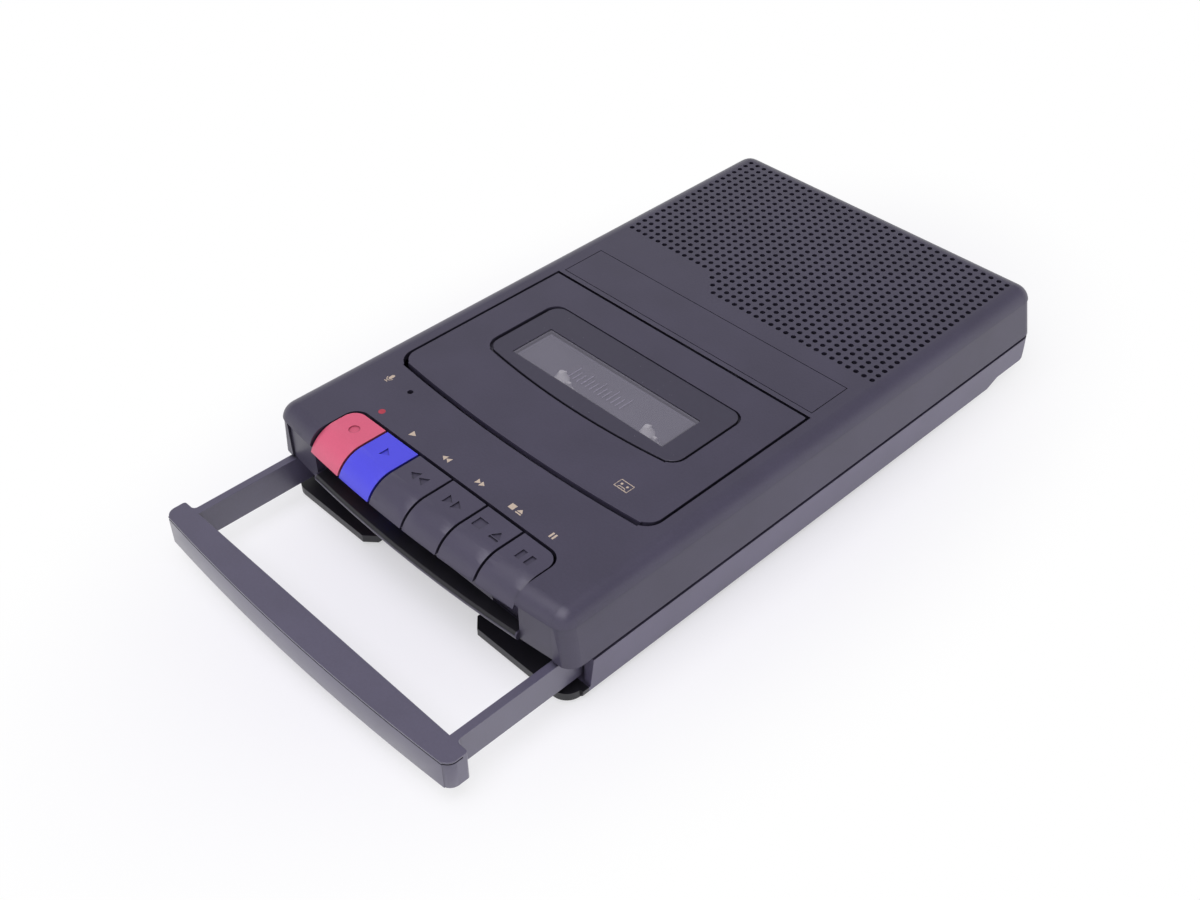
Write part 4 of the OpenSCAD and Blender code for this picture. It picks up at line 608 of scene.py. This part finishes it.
def make_sky(stage):
    """White walls all round under a darker ceiling."""
    world = bpy.data.worlds.new("studio_sky")
    bpy.context.scene.world = world
    world.use_nodes = True
    tree = world.node_tree
    tree.nodes.clear()
    level = add_node(tree, "ShaderNodeMapRange", {"To Min": stage.sky, "To Max": 1.0},
                     {"Value": seen_directly(tree)})
    toward = add_node(tree, "ShaderNodeTexCoord").outputs["Generated"]
    rise = add_node(tree, "ShaderNodeSeparateXYZ", links={"Vector": toward}).outputs["Z"]
    wall = add_node(tree, "ShaderNodeMapRange",
                    {"interpolation_type": "SMOOTHSTEP", "From Min": WALL_END,
                     "From Max": CEILING_START, "To Min": 1.0, "To Max": stage.ceiling},
                    {"Value": rise})
    strength = add_node(tree, "ShaderNodeMath", {"operation": "MULTIPLY"},
                        {0: level.outputs["Result"], 1: wall.outputs["Result"]})
    sky = add_node(tree, "ShaderNodeBackground", {"Color": (1, 1, 1, 1)},
                   {"Strength": strength.outputs[0]})
    add_node(tree, "ShaderNodeOutputWorld", links={"Surface": sky.outputs["Background"]})


def make_lamps(stage):
    """Soft lamps that face the recorder."""
    for name, place, wide, high, watts, in_gloss in LAMPS:
        lamp = bpy.data.lights.new(name, "AREA")
        lamp.color = linear(LAMP_TINT)
        lamp.shape, lamp.size, lamp.size_y = "RECTANGLE", wide, high
        lamp.energy = getattr(stage, watts)
        holder = bpy.data.objects.new(name, lamp)
        holder.location = place
        holder.visible_glossy = in_gloss
        holder.rotation_euler = (-Vector(place)).to_track_quat("-Z", "Y").to_euler()
        bpy.context.scene.collection.objects.link(holder)


def make_camera():
    """The photograph's view."""
    camera = bpy.data.cameras.new("photograph_view")
    camera.lens, camera.sensor_width = VIEW_LENS, VIEW_SENSOR
    camera.shift_x, camera.shift_y = VIEW_SHIFT
    camera.clip_start, camera.clip_end = VIEW_CLIP
    right = Vector(VIEW_RIGHT).normalized()
    back = -Vector(VIEW_AHEAD).normalized()
    up = back.cross(right).normalized()
    turn = Matrix((right, up, back)).transposed()
    view = bpy.data.objects.new("photograph_view", camera)
    view.matrix_world = Matrix.Translation(VIEW_PLACE) @ turn.to_4x4()
    bpy.context.scene.collection.objects.link(view)
    bpy.context.scene.camera = view


# Operators

class RECORDER_OT_housing(bpy.types.Operator):
    """Finish both shells, the grille, the strip, feet, screws, contacts and battery cover"""
    bl_idname = "recorder.housing"
    bl_label = "Housing"

    def execute(self, context):
        dress("top_case", coat="upper_plastic")
        dress("speaker_grille", "name_strip", "rubber_feet", "case_screws", "battery_contacts")
        dress("bottom_case", "battery_cover", coat="lower_plastic")
        return {"FINISHED"}


class RECORDER_OT_handle(bpy.types.Operator):
    """Finish the carrying handle"""
    bl_idname = "recorder.handle"
    bl_label = "Handle"

    def execute(self, context):
        dress("handle")
        soften(context.scene.recorder_sizes.handle_edge, "handle")
        return {"FINISHED"}


class RECORDER_OT_lid(bpy.types.Operator):
    """Finish the cassette lid with its window and rails"""
    bl_idname = "recorder.lid"
    bl_label = "Cassette lid"

    def execute(self, context):
        dress("cassette_lid", "window_bezel", "window_pane", "lid_guides")
        soften(context.scene.recorder_sizes.edge, "cassette_lid", "window_bezel")
        return {"FINISHED"}


class RECORDER_OT_keys(bpy.types.Operator):
    """Finish the six piano keys, their rod, brackets and springs"""
    bl_idname = "recorder.keys"
    bl_label = "Keys"

    def execute(self, context):
        dress(*KEYS, "key_shaft", "key_springs", "key_brackets")
        soften(context.scene.recorder_sizes.edge, *KEYS)
        return {"FINISHED"}


class RECORDER_OT_transport(bpy.types.Operator):
    """Finish the deck, spindles, drive, heads and the bay"""
    bl_idname = "recorder.transport"
    bl_label = "Tape transport"

    def execute(self, context):
        dress("mechanism_deck", "deck_screws", "cassette_well", "reel_studs", "supply_spindle",
              "takeup_spindle", "capstan", "flywheel", "capstan_bearing", "flywheel_bracket",
              "head_carriage", "record_play_head", "erase_head", "pinch_roller", "motor",
              "motor_pulley", "drive_belt")
        return {"FINISHED"}


class RECORDER_OT_electronics(bpy.types.Operator):
    """Finish the loudspeaker, microphone, board, dial and sockets"""
    bl_idname = "recorder.electronics"
    bl_label = "Sound and electronics"

    def execute(self, context):
        dress("speaker_frame", coat="black_lacquer")
        dress("microphone", coat="black_felt")
        dress("speaker_magnet", "speaker_cone", "circuit_board", "capacitors",
              "amplifier_chip", "record_switch", "volume_control", "volume_dial",
              "earphone_jack", "microphone_jack", "dc_jack")
        return {"FINISHED"}


class RECORDER_OT_signs(bpy.types.Operator):
    """Print the transport signs behind the keys, and the microphone and cassette signs"""
    bl_idname = "recorder.signs"
    bl_label = "Printed signs"

    def execute(self, context):
        sizes = context.scene.recorder_sizes
        for key in KEYS:
            low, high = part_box(key)
            at = ((low.x + high.x) / 2 - sizes.sign_left, LID_FRONT - sizes.sign_ahead, TOP_Z)
            ink = finish("record_ink" if key == "record_key" else "ink")
            print_on("sign_" + key, "housing", transport_sign(key, sizes.sign), at, ink)
        low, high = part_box("microphone")
        at = (low.x - sizes.microphone_sign_left, (low.y + high.y) / 2, TOP_Z)
        print_on("sign_microphone", "housing", microphone_sign(sizes.microphone_sign), at,
                 finish("ink"))
        at = (sizes.cassette_sign_right, LID_FRONT + sizes.cassette_sign_behind, TOP_Z)
        print_on("sign_cassette", "lid", cassette_sign(sizes.cassette_sign), at, finish("ink"))
        return {"FINISHED"}


class RECORDER_OT_tape_scale(bpy.types.Operator):
    """Print the ticks of the tape scale on the window"""
    bl_idname = "recorder.tape_scale"
    bl_label = "Tape scale"

    def execute(self, context):
        sizes = context.scene.recorder_sizes
        low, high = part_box("window_pane")
        middle = (low.x + high.x) / 2
        first = middle - (sizes.ticks - 1) / 2 * sizes.tick_pitch
        ticks = []
        for k in range(sizes.ticks):
            height = sizes.tick if k % LONG_TICK_EVERY == 0 else sizes.tick * SHORT_TICK
            ticks.append(rectangle(sizes.tick_width, height, first + k * sizes.tick_pitch,
                                   height / 2))
        at = (0, low.y + sizes.tick_start, high.z)
        print_on("tape_scale", "lid", ticks, at, finish("scale_ink"))
        return {"FINISHED"}


class RECORDER_OT_stage(bpy.types.Operator):
    """Set the pale floor, soft light and the camera"""
    bl_idname = "recorder.stage"
    bl_label = "Studio"

    def execute(self, context):
        stage = context.scene.recorder_stage
        make_floor(stage)
        make_sky(stage)
        make_lamps(stage)
        make_camera()
        context.scene.view_settings.view_transform = "Standard"
        return {"FINISHED"}


STEPS = (RECORDER_OT_housing, RECORDER_OT_handle, RECORDER_OT_lid, RECORDER_OT_keys,
         RECORDER_OT_transport, RECORDER_OT_electronics, RECORDER_OT_signs,
         RECORDER_OT_tape_scale, RECORDER_OT_stage)
GROUPS = {"recorder_colours": RecorderColours, "recorder_sizes": RecorderSizes,
          "recorder_stage": RecorderStage}


class RECORDER_PT_panel(bpy.types.Panel):
    """Sidebar panel of the recorder"""
    bl_idname = "RECORDER_PT_panel"
    bl_label = "Cassette recorder"
    bl_space_type = "VIEW_3D"
    bl_region_type = "UI"
    bl_category = "Recorder"

    def draw(self, context):
        for step in STEPS:
            self.layout.operator(step.bl_idname)
        for name, group in GROUPS.items():
            box = self.layout.box()
            for setting in group.__annotations__:
                box.prop(getattr(context.scene, name), setting)


def register():
    for part in (*GROUPS.values(), *STEPS, RECORDER_PT_panel):
        bpy.utils.register_class(part)
    for name, group in GROUPS.items():
        setattr(bpy.types.Scene, name, PointerProperty(type=group))


def unregister():
    for name in GROUPS:
        delattr(bpy.types.Scene, name)
    for part in reversed((*GROUPS.values(), *STEPS, RECORDER_PT_panel)):
        bpy.utils.unregister_class(part)


def main():
    register()
    for step in STEPS:
        area, name = step.bl_idname.split(".")
        getattr(getattr(bpy.ops, area), name)()


if __name__ == "__main__":
    main()
